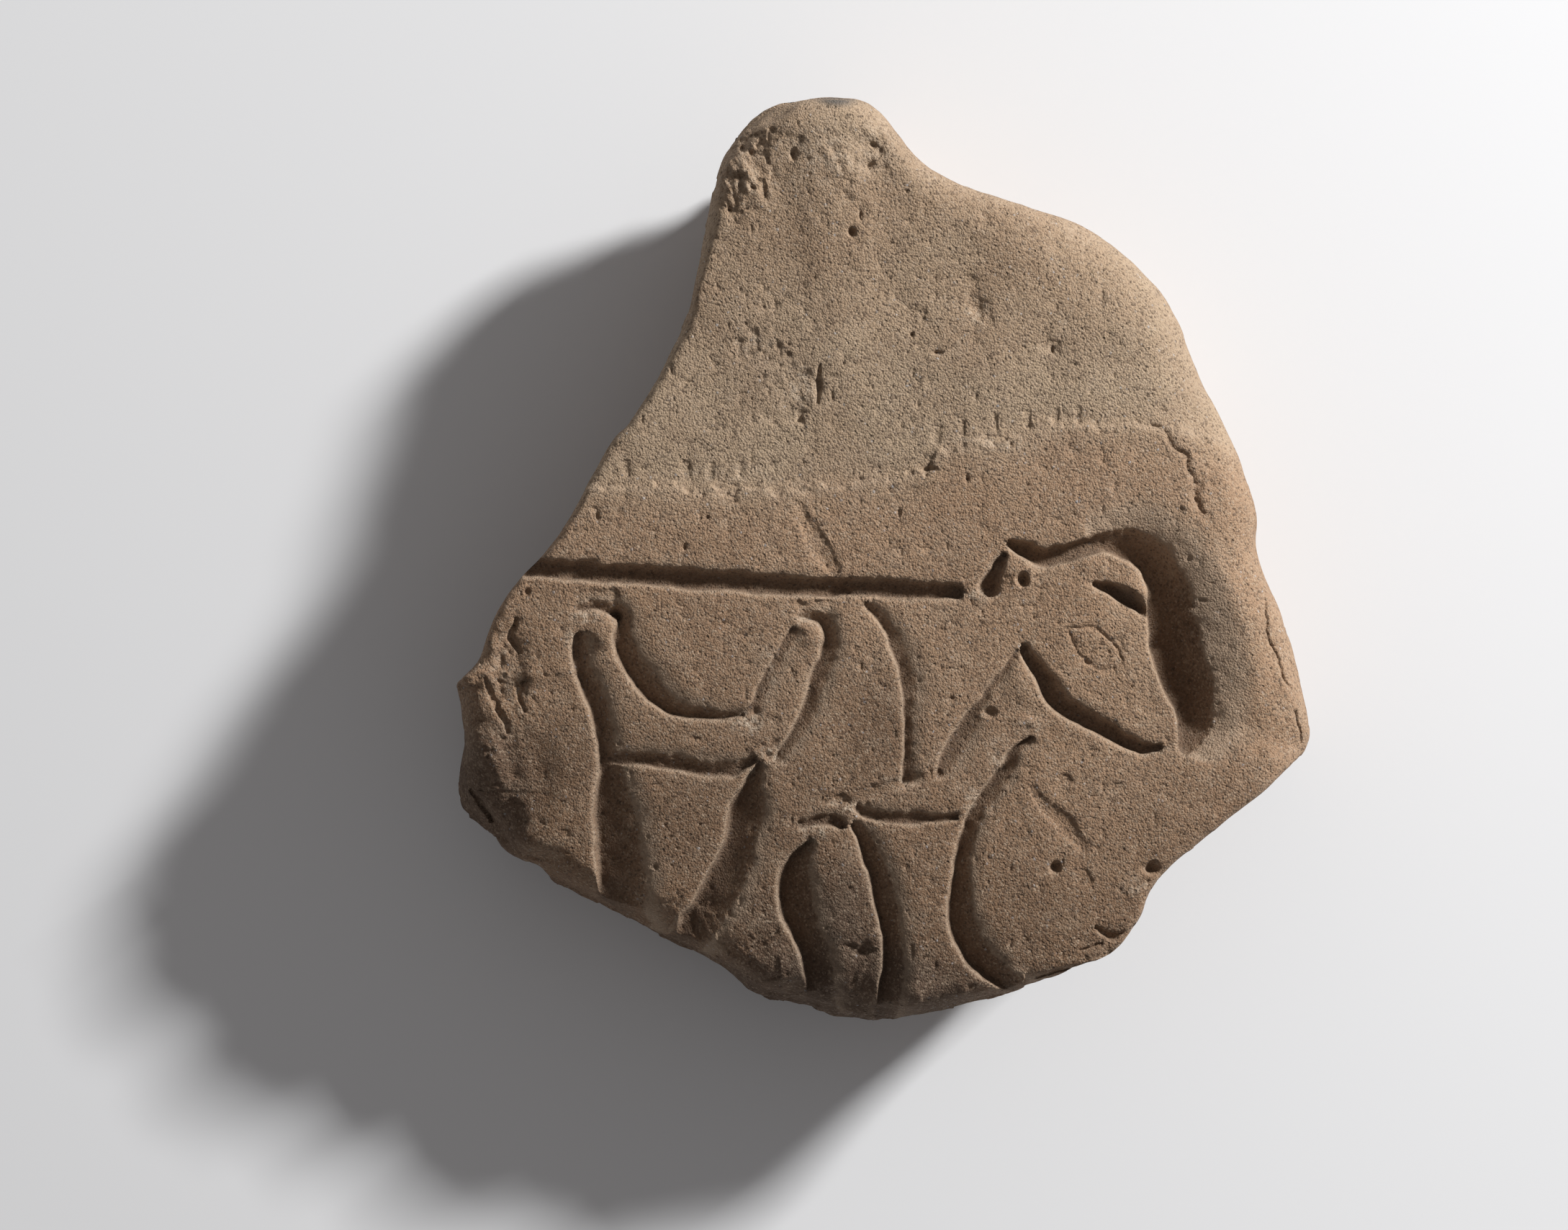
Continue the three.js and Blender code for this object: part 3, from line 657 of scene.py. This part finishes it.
def cut_depth(places, crumble, face, stations, depth, rounding=0.2, power=4.2, deepest=-0.4, open_end="",
              lip=0.00012, lip_width=0.0008):
    """Depth of one channel at each place, in metres, and how far a place is inside it, from 0 to 1.

    With u the distance across as a share of the half width, negative on the steep side, and m the
    deepest place, the depth is d (1 - ((m - u) / (1 + m))^2.6) on the steep side and
    d (1 - ((u - m) / (1 - m))^p) on the gentle one, where p is less for a well rounded edge. Outside
    either edge the stone droops by lip (1 - e / w)^2 at a distance e under the lip's width w. The
    gentle side's lip is as wide as the rounding, a quarter as high, and its edge is shifted by the
    crumbling.
    """
    depths = np.zeros(len(places))
    inside = np.zeros(len(places))
    curve = open_curve(stations, 0.25)
    path = face.place(curve[:, :2])
    step = np.gradient(path, axis=0)
    length = np.hypot(*step.T)
    forward = step / length[:, None]
    left = np.column_stack([-forward[:, 1], forward[:, 0]])
    travelled = np.concatenate([[0], np.cumsum(np.hypot(*np.diff(path, axis=0).T))])
    half = curve[:, 2] / 2 * face.unit
    tip = np.ones(len(path))
    if open_end != "start":
        tip = np.minimum(tip, tip_share(travelled, half))
    if open_end != "end":
        tip = np.minimum(tip, tip_share(travelled[-1] - travelled, half))
    widest = max(width for _, _, width in stations) / 2 * face.unit
    down = depth * (tip * half / widest) ** DEPTH_FROM_WIDTH
    rounded = rounding * face.unit * np.sqrt(tip * half / widest)
    half = half * tip
    reach = half.max() + max(lip_width, rounded.max())
    near = np.flatnonzero(np.all((places > path.min(0) - reach) & (places < path.max(0) + reach), axis=1))
    for part in np.array_split(near, max(1, len(near) // 20000)):
        offset = places[part][:, None, :] - path[None, :, :]
        nearest = np.argmin(np.einsum("ijk,ijk->ij", offset, offset), axis=1)
        gap = offset[np.arange(len(part)), nearest]
        across = -np.einsum("ij,ij->i", gap, left[nearest])
        along = np.einsum("ij,ij->i", gap, forward[nearest])
        at_end = (nearest == 0) | (nearest == len(path) - 1)
        beyond = np.where(at_end, np.abs(along), 0)
        h = half[nearest]
        d = down[nearest]
        u = np.copysign(np.hypot(across, beyond), across) / h
        u += CRUMBLE * crumble[part] / h * smooth_step(u, 0.1, 0.8)
        on_steep_side = u < deepest
        width = np.where(on_steep_side, lip_width, rounded[nearest])
        sunk = np.where(on_steep_side, np.minimum(lip, 0.3 * d), np.minimum(LIP_SLOPE * width, 0.4 * d))
        steep = 1 - np.clip((deepest - u) / (1 + deepest), 0, 1) ** STEEP_POWER
        gentle = 1 - np.clip((u - deepest) / (1 - deepest), 0, 1) ** power
        shape = np.where(on_steep_side, steep, gentle)
        outside = np.clip((np.abs(u) - 1) * h / width, 0, 1)
        depths[part] = np.where(np.abs(u) < 1, sunk + (d - sunk) * shape, sunk * (1 - outside) ** 2)
        inside[part] = shape
    return depths, inside


def pit_depth(places, face, pit):
    """Depth of a pit: d (1 - q^2)^1.5 inside its ellipse, where q is the distance to its edge."""
    x, y, width, height, depth = pit
    offset = (places - face.place((x, y))) / (np.array([width, height]) / 2 * face.unit)
    q = np.einsum("ij,ij->i", offset, offset)
    return depth * np.clip(1 - q, 0, 1) ** 1.5


def flake_depth(units, crumble, flake):
    """Depth where a flake is gone: its depth times how far a place lies towards the sharp edge.

    The flake is an ellipse with a ragged edge, and its floor rises to the surface opposite that edge.
    """
    x, y, wide, high, depth, degrees = flake
    offset = (units - (x, y)) / (wide, high)
    towards = np.array([math.cos(math.radians(degrees)), math.sin(math.radians(degrees))])
    ragged = np.hypot(*offset.T) + 0.4 * crumble
    return depth * smooth_step(1 - ragged, 0, 0.5) * np.clip(0.5 + 0.5 * offset @ towards, 0, 1)


def band_height(units):
    """How far a place is above the band's top line, in units, along y."""
    line = np.array(BAND_TOP)
    return units[:, 1] - np.interp(units[:, 0], line[:, 0], line[:, 1])


def carving(points, face, sizes):
    """Depth of the channels and of the finer relief in metres, and where channels and the field are.

    Places are shifted by noise first, so that no edge is ruled. Channels are combined by taking the
    deepest one. The finer relief is the sum of the dressed field, its dents, the lines and the pits.
    """
    flat = np.column_stack([points[:, :2], np.zeros(len(points))])
    shift = np.column_stack([
        0.0007 * noise(flat, 0.013, 31) + 0.00045 * noise(flat, 0.0045, 32),
        0.0007 * noise(flat, 0.013, 33) + 0.00045 * noise(flat, 0.0045, 34),
    ])
    places = points[:, :2] + shift
    crumble = noise(flat, 0.0045, 35) + 0.6 * noise(flat, 0.0022, 36)
    depth = np.zeros(len(points))
    inside = np.zeros(len(points))
    for share, soft, power, deepest, open_end, stations in CHANNELS.values():
        cut, within = cut_depth(places, crumble, face, stations, share * sizes.groove_depth, soft, power,
                                deepest, open_end, sizes.worn_edge, sizes.worn_edge * WORN_WIDTH)
        depth = np.maximum(depth, cut)
        inside = np.maximum(inside, within)
    lines = np.zeros(len(points))
    for share, stations in FINE_CUTS.values():
        cut, _ = cut_depth(places, crumble, face, stations, share * sizes.groove_depth)
        lines = np.maximum(lines, cut)
    units = face.units(places)
    above = band_height(units)
    field = smooth_step(above + 0.7 * crumble, -0.4, 0.5)
    relief = lines + field * sizes.field_step * (1 - inside)
    for x, y in STEP_DENTS:
        stations = [(x, y, 0.7), (x - 0.15, y - 1.3, 1), (x + 0.1, y - 2.4, 0.6)]
        cut, _ = cut_depth(places, crumble, face, stations, 0.12 * sizes.groove_depth)
        relief += cut
    for pit in PITS.values():
        relief += pit_depth(places, face, pit) * sizes.groove_depth
    for flake in FLAKES.values():
        relief += flake_depth(units, crumble, flake)
    for *patch, height in SWELLS.values():
        relief -= height * near_patch(units, *patch)
    relief += weathering(flat, units)
    return depth, relief, inside, field


def near_patch(units, x, y, wide, high):
    """1 in the middle of an ellipse, falling smoothly to 0 at its edge."""
    distance = np.hypot((units[:, 0] - x) / wide, (units[:, 1] - y) / high)
    return 1 - smooth_step(distance, 0.2, 1)


def crumbled(units):
    """How crumbled each place is, from 0 to 1: the strongest of the crumbled patches there."""
    return np.max([strength * near_patch(units, *patch) for *patch, strength in CRUMBLED.values()], axis=0)


def creases(points, size, seed, width=0.16):
    """Lines where noise changes sign: 1 on the line and 0 where the noise is over the width."""
    return np.clip(1 - np.abs(noise(points, size, seed)) / width, 0, 1) ** 1.5


def ridges(points, size, seed, layers=4, fade=0.55):
    """Sum of 1 - 2 |noise| at size, size/2 and so on: sharp creases between rounded lumps."""
    total = sum(fade**layer * (1 - 2 * np.abs(noise(points, size / 2**layer, seed + layer)))
                for layer in range(layers))
    return total / sum(fade**layer for layer in range(layers))


def weathering(flat, units):
    """Depth of small random pits over the whole face, and of the rugged crown and left side.

    Pits are the peaks of noise over a level, which is lower where the stone is rugged. Rugged stone
    is the sum of ridged noise, drawn out along the left edge, and crumbled stone is finer noise.
    """
    crown = near_patch(units, 33.5, 100, 6.5, 8) + 0.45 * near_patch(units, 46, 102, 8, 6)
    left = 0.6 * near_patch(units, 5.5, 37, 7.5, 16)
    right = near_patch(units, 98, 40, 4.5, 14)
    slope = near_patch(units, 24, 8, 26, 8)
    rugged = np.clip(crown + left + 0.6 * slope + 0.4 * right, 0, 1)
    small = np.clip(noise(flat, 0.0024, 41) - 0.71 + 0.16 * rugged, 0, 1)
    large = np.clip(noise(flat, 0.005, 42) - 0.74 + 0.3 * rugged, 0, 1)
    drawn_out = flat @ np.array([[0.9, 0.25, 0], [0.35, 0.6, 0], [0, 0, 1]])
    torn = rugged * ridges(drawn_out, 0.011, 43, 4, 0.6)
    grit = crumbled(units) * (noise(flat, 0.0042, 47) + 0.6 * noise(flat, 0.0021, 48))
    return 0.0024 * small + 0.0035 * large * (0.3 + rugged) + 0.0026 * torn + 0.0005 * grit


def wall_break(points, girth_share):
    """How far the broken walls fall back below the girth: facets, bedding planes and their creases.

    Nothing falls back at the girth itself, and all of it from half of the way down.
    """
    level = points * np.array([0.1, 0.1, 1.0])
    tilted = level + np.array([0, 0, 1.0]) * (0.06 * points[:, :1] + 0.04 * points[:, 1:2])
    large = 0.0032 * (1 + facets(points, 0.055, 51)) * smooth_step(girth_share, 0, 0.5)
    small = (0.0017 * (1 + facets(points, 0.02, 52))
             + 0.001 * (1 + noise(tilted, 0.0055, 53))
             + 0.001 * (1 + layered_noise(points, 0.01, 54, 3, 0.6))
             + 0.0014 * creases(tilted, 0.011, 55, 0.12))
    return large + small * smooth_step(girth_share, 0, 0.2)


def roughen(points, normals, rough, sizes):
    """Moves each point along its own normal by broken facets, lumps and bedding lines.

    The break's height is its roughness times the sum of facets 50 mm and 16 mm wide, layered noise
    and bedding lines, which are noise stretched level. The whole skin gets shallow waves as well.
    """
    scale = sizes.break_roughness
    share = np.clip(rough / scale, 0, 1.2)
    broken = share > 0.01
    some = points[broken]
    lumps = np.zeros(len(points))
    level = some * np.array([0.12, 0.12, 1.0])
    lumps[broken] = scale * share[broken] * (
        0.2 * facets(some, 0.05, 5) + 0.28 * facets(some, 0.016, 6)
        + 0.7 * layered_noise(some, 0.022, 7, 4, 0.55) + 0.4 * layered_noise(level, 0.006, 9, 2))
    waves = (0.0008 * noise(points, 0.06, 3) + 0.0005 * noise(points, 0.022, 4)
             + 0.00026 * noise(points, 0.009, 8))
    return points + normals * (lumps + waves - 0.4 * scale * share)[:, None]


def make_skin(sizes):
    """The whole stone as a dense closed mesh in metres."""
    face = Face()
    top, level, edge, top_rough = skin_grid(face)
    rings, ring_rough, pole = side_and_base(face, top, edge)
    points = np.vstack([top, rings.reshape(-1, 3), pole])
    rough = np.concatenate([top_rough, ring_rough.ravel(), [0]])
    ring_side = 2 * (FACE_RINGS + ROUNDING_RINGS) + 1
    quads, fan = skin_faces(ring_side, edge, len(rings))
    mesh = bpy.data.meshes.new("stone_skin")
    fill_mesh(mesh, points, quads, fan)
    normals = read_points(mesh, "normal")
    moved = roughen(points, normals, rough, sizes)
    side = slice(len(top), len(top) + SIDE_RINGS * len(edge))
    sunk = 1 - points[side, 2] / np.tile(points[edge, 2], SIDE_RINGS)
    back = -normals[side, :2] * wall_break(points[side], sunk)[:, None]
    moved[side, :2] += back
    fade = 1 - np.arange(1, BASE_RINGS) / BASE_RINGS
    foot = moved[side.stop - len(edge):side.stop, :2] - points[side.stop - len(edge):side.stop, :2]
    moved[side.stop:-1, :2] += (fade[:, None, None] * foot).reshape(-1, 2)
    on_top = np.arange(len(points)) < len(top)
    channels, relief, _, _ = carving(moved[on_top], face, sizes)
    upper = moved[on_top]
    wave = upper[:, 2] - top[:, 2]
    upper[:, 2] = np.minimum(upper[:, 2], level + wave - channels) - relief
    moved[on_top] = upper
    grain = 0.00006 * noise(moved, 0.0036, 21)
    moved += normals * grain[:, None]
    base = np.arange(len(points)) >= len(points) - 1 - (BASE_RINGS - 1) * len(edge)
    moved[base, 2] = 0.0004 + 0.0004 * noise(moved[base], 0.01, 23)
    moved[:, 2] = np.maximum(moved[:, 2], 0)
    mesh.vertices.foreach_set("co", moved.astype(np.float32).ravel())
    mesh.update()
    return mesh, face


def thin_out(piece, most):
    """Collapses edges where the skin is flattest until at most so many triangles are left."""
    triangles = sum(len(p.vertices) - 2 for p in piece.data.polygons)
    thinner = piece.modifiers.new("thinner", "DECIMATE")
    thinner.ratio = min(1.0, most / triangles)
    graph = bpy.context.evaluated_depsgraph_get()
    thin = bpy.data.meshes.new_from_object(piece.evaluated_get(graph))
    piece.modifiers.clear()
    piece.data = thin


def write_attribute(mesh, name, values):
    """Gives each of a mesh's points a number that the material can read."""
    attribute = mesh.attributes.new(name, "FLOAT", "POINT")
    attribute.data.foreach_set("value", values.astype(np.float32))


def node(tree, kind, **settings):
    """A new shader node. Settings that name an input set its value, and others set the node."""
    made = tree.nodes.new(kind)
    for key, value in settings.items():
        if key in made.inputs:
            made.inputs[key].default_value = value
        else:
            setattr(made, key, value)
    return made


def mix_colours(tree, factor, first, second, blend="MIX"):
    """Mixes two colours, each a socket or a value, by a socket."""
    mixer = tree.nodes.new("ShaderNodeMix")
    mixer.data_type = "RGBA"
    mixer.blend_type = blend
    for socket, value in ((mixer.inputs[0], factor), (mixer.inputs[6], first), (mixer.inputs[7], second)):
        if isinstance(value, bpy.types.NodeSocket):
            tree.links.new(value, socket)
        else:
            socket.default_value = value
    return mixer.outputs[2]


def map_range(tree, value, low, high, to_low=0.0, to_high=1.0):
    """Carries a socket from one range to another, held at its ends."""
    ranger = tree.nodes.new("ShaderNodeMapRange")
    ranger.inputs["From Min"].default_value = low
    ranger.inputs["From Max"].default_value = high
    ranger.inputs["To Min"].default_value = to_low
    ranger.inputs["To Max"].default_value = to_high
    tree.links.new(value, ranger.inputs["Value"])
    return ranger.outputs["Result"]


def multiply(tree, first, second):
    """The product of a socket and a socket or number."""
    maths = tree.nodes.new("ShaderNodeMath")
    maths.operation = "MULTIPLY"
    tree.links.new(first, maths.inputs[0])
    if isinstance(second, bpy.types.NodeSocket):
        tree.links.new(second, maths.inputs[1])
    else:
        maths.inputs[1].default_value = second
    return maths.outputs[0]


def sandstone(colours):
    """Grainy brown sandstone.

    Colour: the carved brown turns to the dark lower brown by the darkening_and_shade attribute, partly
    painted shade, and to the field's beige by the field attribute, with patches of noise. Pale and dark
    grains of about 0.9 mm come from noise and cells. Painted shade darkens the channels where the cut
    attribute is high, a painted highlight lightens edges where painted_edge_highlight is, pale dust lies
    where crumbs is, and a grey stain where stain is. Bump: cells and noise of 0.9 mm, pores of 3 mm and
    coarse sand.
    """
    material = bpy.data.materials.new("sandstone")
    material.use_nodes = True
    tree = material.node_tree
    link = tree.links.new
    shader = tree.nodes["Principled BSDF"]
    shader.inputs["Roughness"].default_value = 0.93
    shader.inputs["Specular IOR Level"].default_value = 0.25
    coordinates = node(tree, "ShaderNodeTexCoord").outputs["Object"]

    def noise_texture(scale, detail, rough=0.5):
        texture = node(tree, "ShaderNodeTexNoise", Scale=scale, Detail=detail, Roughness=rough)
        link(coordinates, texture.inputs["Vector"])
        return texture.outputs["Fac"]

    def attribute(name):
        return node(tree, "ShaderNodeAttribute", attribute_name=name).outputs["Fac"]

    broad = noise_texture(11, 2)
    patches = noise_texture(26, 4, 0.6)
    blotches = noise_texture(90, 3, 0.6)
    grains = noise_texture(1050, 3, 0.7)
    coarse = noise_texture(420, 3, 0.6)
    sand = node(tree, "ShaderNodeTexVoronoi", Scale=1150.0)
    link(coordinates, sand.inputs["Vector"])
    tint = node(tree, "ShaderNodeSeparateColor")
    link(sand.outputs["Color"], tint.inputs[0])
    # Painted shade in part: darkening_and_shade darkens the brown over the lower left, the broken sides, the
    # left lobe, the base strip and the brow's hollow.
    darkening_and_shade = attribute("darkening_and_shade")
    base = mix_colours(tree, darkening_and_shade, tuple(colours.carved), tuple(colours.low))
    base = mix_colours(tree, map_range(tree, darkening_and_shade, 1, 2, 0, 0.9), base, tuple(colours.dark_grains_and_shade))
    base = mix_colours(tree, attribute("field"), base, tuple(colours.field))
    base = mix_colours(tree, map_range(tree, patches, 0.4, 0.7, 0, 0.4), base, RUSTY_PATCH)
    base = mix_colours(tree, map_range(tree, broad, 0.45, 0.65, 0, 0.35), base, BROAD_PATCH)
    base = mix_colours(tree, map_range(tree, blotches, 0.5, 0.75, 0, 0.25), base, tuple(colours.pale_grains_and_highlight))
    base = mix_colours(tree, map_range(tree, grains, 0.52, 0.75, 0, 0.5), base, tuple(colours.pale_grains_and_highlight))
    base = mix_colours(tree, map_range(tree, grains, 0.46, 0.28, 0, 0.55), base, tuple(colours.dark_grains_and_shade))
    pale = map_range(tree, tint.outputs[0], 0.72, 1, 0, 0.6)
    base = mix_colours(tree, pale, base, tuple(colours.pale_grains_and_highlight))
    dark = map_range(tree, tint.outputs[1], 0.7, 1, 0, 0.7)
    base = mix_colours(tree, dark, base, tuple(colours.dark_grains_and_shade))
    glint = map_range(tree, tint.outputs[2], 0.993, 1, 0, 0.5)
    base = mix_colours(tree, glint, base, GLINT)
    # Painted shade: the channels are darkened by how far a place lies inside them.
    shade_in_cut = map_range(tree, attribute("cut"), 0.2, 0.9, 0, 0.6)
    base = mix_colours(tree, shade_in_cut, base, tuple(colours.dark_grains_and_shade))
    # Painted highlight: channel edges, slopes and the step's crest are lightened.
    base = mix_colours(tree, attribute("painted_edge_highlight"), base, tuple(colours.pale_grains_and_highlight))
    # More painted shade where darkening_and_shade is highest.
    base = mix_colours(tree, map_range(tree, darkening_and_shade, 1.2, 2.4, 0, 0.28), base, tuple(colours.dark_grains_and_shade))
    dust = multiply(tree, attribute("crumbs"), map_range(tree, coarse, 0.42, 0.6))
    base = mix_colours(tree, dust, base, tuple(colours.crumbs))
    base = mix_colours(tree, attribute("stain"), base, tuple(colours.stain))
    link(base, shader.inputs["Base Color"])

    cells = node(tree, "ShaderNodeTexVoronoi", Scale=330.0)
    link(coordinates, cells.inputs["Vector"])
    holes = map_range(tree, cells.outputs["Distance"], 0.05, 0.24, 0, 1)
    bumps = ((sand.outputs["Distance"], -0.9, 0.00045), (grains, 1.0, 0.0006),
             (holes, 0.9, 0.0006), (coarse, 0.45, 0.001))
    normal = None
    for height, strength, distance in bumps:
        bump = node(tree, "ShaderNodeBump", Strength=abs(strength), Distance=distance)
        bump.invert = strength < 0
        link(height, bump.inputs["Height"])
        if normal is not None:
            link(normal, bump.inputs["Normal"])
        normal = bump.outputs["Normal"]
    link(normal, shader.inputs["Normal"])
    return material


def paint_attributes(mesh, face, sizes):
    """Writes what the material needs at each point: cut, field, painted_edge_highlight, crumbs and
    stain, from 0 to 1, and darkening_and_shade, which goes past 1 where the stone is darkest.

    darkening_and_shade falls from 1 at the bottom and lower left to 0 at the top right, plus its
    patches, and is a half higher on the broken sides and steep walls, as painted shade. Cut darkens
    the channels as painted shade. painted_edge_highlight is a painted highlight on the droop beside a
    channel plus a share of the slope, and on the crest of the step.
    """
    points = read_points(mesh)
    normals = read_points(mesh, "normal")
    depth, relief, inside, field = carving(points, face, sizes)
    upper = smooth_step(points[:, 2], PANEL_THICKNESS * 0.6, PANEL_THICKNESS * 0.75)
    upper *= smooth_step(normals[:, 2], 0.05, 0.3)
    # Painted shade: cut tells the material how far to darken the inside of a channel.
    write_attribute(mesh, "cut", np.clip(inside, 0, 1) * upper)
    units = face.units(points[:, :2])
    # Painted shade in part: darker towards the lower left, darker in the patches, and a half darker on the
    # broken sides and steep walls.
    height = units[:, 1] + 0.22 * (units[:, 0] - 50)
    patches = sum(strength * near_patch(units, *patch) for *patch, strength in DARKENING_AND_SHADE.values())
    write_attribute(mesh, "darkening_and_shade", 1 - smooth_step(height, 4, 62) + patches + 0.5 * (1 - upper))
    # Painted highlight: lightens the droop beside a channel, the slopes, and the step's crest.
    lip = np.clip(depth / sizes.worn_edge, 0, 1) * (inside < 0.02)
    edge_highlight = (0.44 * lip + 0.12 * smooth_step(0.9 - normals[:, 2], 0, 0.35)) * upper
    crumbs = 0.75 * crumbled(units) * smooth_step(noise(points, 0.0026, 61) + 0.5, 0, 0.7)
    above = band_height(units)
    crest = np.clip(1 - np.abs(above + 0.3) / 0.7, 0, 1)
    write_attribute(mesh, "field", smooth_step(above, -5, 3) * (0.4 + 0.6 * upper))
    write_attribute(mesh, "painted_edge_highlight", np.clip(edge_highlight + 0.22 * crest * upper, 0, 0.6))
    write_attribute(mesh, "crumbs", crumbs * upper)
    patch = np.hypot((units[:, 0] - 44.6) / 3.2, (units[:, 1] - 109) / 1.7)
    write_attribute(mesh, "stain", smooth_step(1 - patch, 0, 0.6) * upper * 0.85)


class STONE_OT_relief_slab(bpy.types.Operator):
    """Make the broken slab with its carving, pits, cracks and broken sides."""

    bl_idname = "stone.relief_slab"
    bl_label = "Relief slab"

    def execute(self, context):
        scene = context.scene
        mesh, face = make_skin(scene.stone_sizes)
        piece = bpy.data.objects.new("carved_sandstone", mesh)
        scene.collection.objects.link(piece)
        thin_out(piece, MOST_TRIANGLES)
        paint_attributes(piece.data, face, scene.stone_sizes)
        piece.data.materials.clear()
        piece.data.materials.append(sandstone(scene.stone_colours))
        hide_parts(SLAB_NODE)
        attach(piece, "root")
        return {"FINISHED"}


class STONE_OT_studio(bpy.types.Operator):
    """Make the pale floor, the raking light, the even fill and the camera straight above."""

    bl_idname = "stone.studio"
    bl_label = "Studio"

    def execute(self, context):
        scene = context.scene
        settings = scene.studio_settings
        self.floor(scene)
        self.light(scene, settings)
        self.world(scene, settings)
        self.camera(scene, settings)
        scene.view_settings.view_transform = "Standard"
        scene.view_settings.look = "None"
        return {"FINISHED"}

    def floor(self, scene):
        """A level sheet of white paper."""
        half = FLOOR_HALF
        corners = [(-half, -half, 0), (half, -half, 0), (half, half, 0), (-half, half, 0)]
        mesh = bpy.data.meshes.new("floor")
        mesh.from_pydata(corners, [], [(0, 1, 2, 3)])
        floor = bpy.data.objects.new("floor", mesh)
        scene.collection.objects.link(floor)
        material = bpy.data.materials.new("white_paper")
        material.use_nodes = True
        shader = material.node_tree.nodes["Principled BSDF"]
        shader.inputs["Base Color"].default_value = (0.818, 0.824, 0.838, 1.0)
        shader.inputs["Roughness"].default_value = 0.9
        shader.inputs["Specular IOR Level"].default_value = 0.1
        mesh.materials.append(material)

    def light(self, scene, settings):
        """A square panel that faces the stone from its elevation and azimuth."""
        data = bpy.data.lights.new("raking_light", "AREA")
        data.shape = "SQUARE"
        data.size = settings.light_size
        data.energy = settings.light_power
        data.color = (1.0, 0.998, 0.992)
        light = bpy.data.objects.new("raking_light", data)
        up = math.sin(settings.light_elevation)
        out = math.cos(settings.light_elevation)
        direction = np.array([
            out * math.cos(settings.light_azimuth), out * math.sin(settings.light_azimuth), up])
        light.location = direction * settings.light_distance
        light.rotation_euler = (
            math.pi / 2 - settings.light_elevation, 0, settings.light_azimuth + math.pi / 2)
        scene.collection.objects.link(light)

    def world(self, scene, settings):
        """Even light from all round."""
        world = bpy.data.worlds.new("even_fill")
        world.use_nodes = True
        background = world.node_tree.nodes["Background"]
        background.inputs["Color"].default_value = (1.0, 0.965, 0.96, 1.0)
        background.inputs["Strength"].default_value = settings.fill
        scene.world = world

    def camera(self, scene, settings):
        """A camera that looks straight down, with its lens from the view's width."""
        data = bpy.data.cameras.new("overhead_camera")
        data.sensor_fit = "HORIZONTAL"
        data.sensor_width = 36.0
        data.lens = data.sensor_width * settings.camera_height / settings.view_width
        camera = bpy.data.objects.new("overhead_camera", data)
        camera.location = (*PICTURE_MIDDLE, PANEL_THICKNESS + settings.camera_height)
        scene.collection.objects.link(camera)
        scene.camera = camera


class STONE_PT_panel(bpy.types.Panel):
    """Sizes, colours and studio of the slab, with a button for each operator."""

    bl_idname = "STONE_PT_panel"
    bl_label = "Carved slab"
    bl_space_type = "VIEW_3D"
    bl_region_type = "UI"
    bl_category = "Stone"

    def draw(self, context):
        scene = context.scene
        for title, group in (("Sizes", scene.stone_sizes), ("Colours", scene.stone_colours),
                             ("Studio", scene.studio_settings)):
            box = self.layout.box()
            box.label(text=title)
            for name in group.__annotations__:
                box.prop(group, name)
        for operator in OPERATORS:
            self.layout.operator(operator.bl_idname)


GROUPS = (StoneSizes, StoneColours, StudioSettings)
OPERATORS = (STONE_OT_relief_slab, STONE_OT_studio)


def register():
    """Makes the groups, operators and panel known, and adds the groups to the scene."""
    for cls in (*GROUPS, *OPERATORS, STONE_PT_panel):
        bpy.utils.register_class(cls)
    bpy.types.Scene.stone_sizes = bpy.props.PointerProperty(type=StoneSizes)
    bpy.types.Scene.stone_colours = bpy.props.PointerProperty(type=StoneColours)
    bpy.types.Scene.studio_settings = bpy.props.PointerProperty(type=StudioSettings)


def unregister():
    """Takes the groups off the scene, and forgets the classes."""
    del bpy.types.Scene.studio_settings
    del bpy.types.Scene.stone_colours
    del bpy.types.Scene.stone_sizes
    for cls in reversed((*GROUPS, *OPERATORS, STONE_PT_panel)):
        bpy.utils.unregister_class(cls)


def main():
    """Makes the studio and the stone."""
    register()
    bpy.ops.stone.studio()
    bpy.ops.stone.relief_slab()


if __name__ == "__main__":
    main()
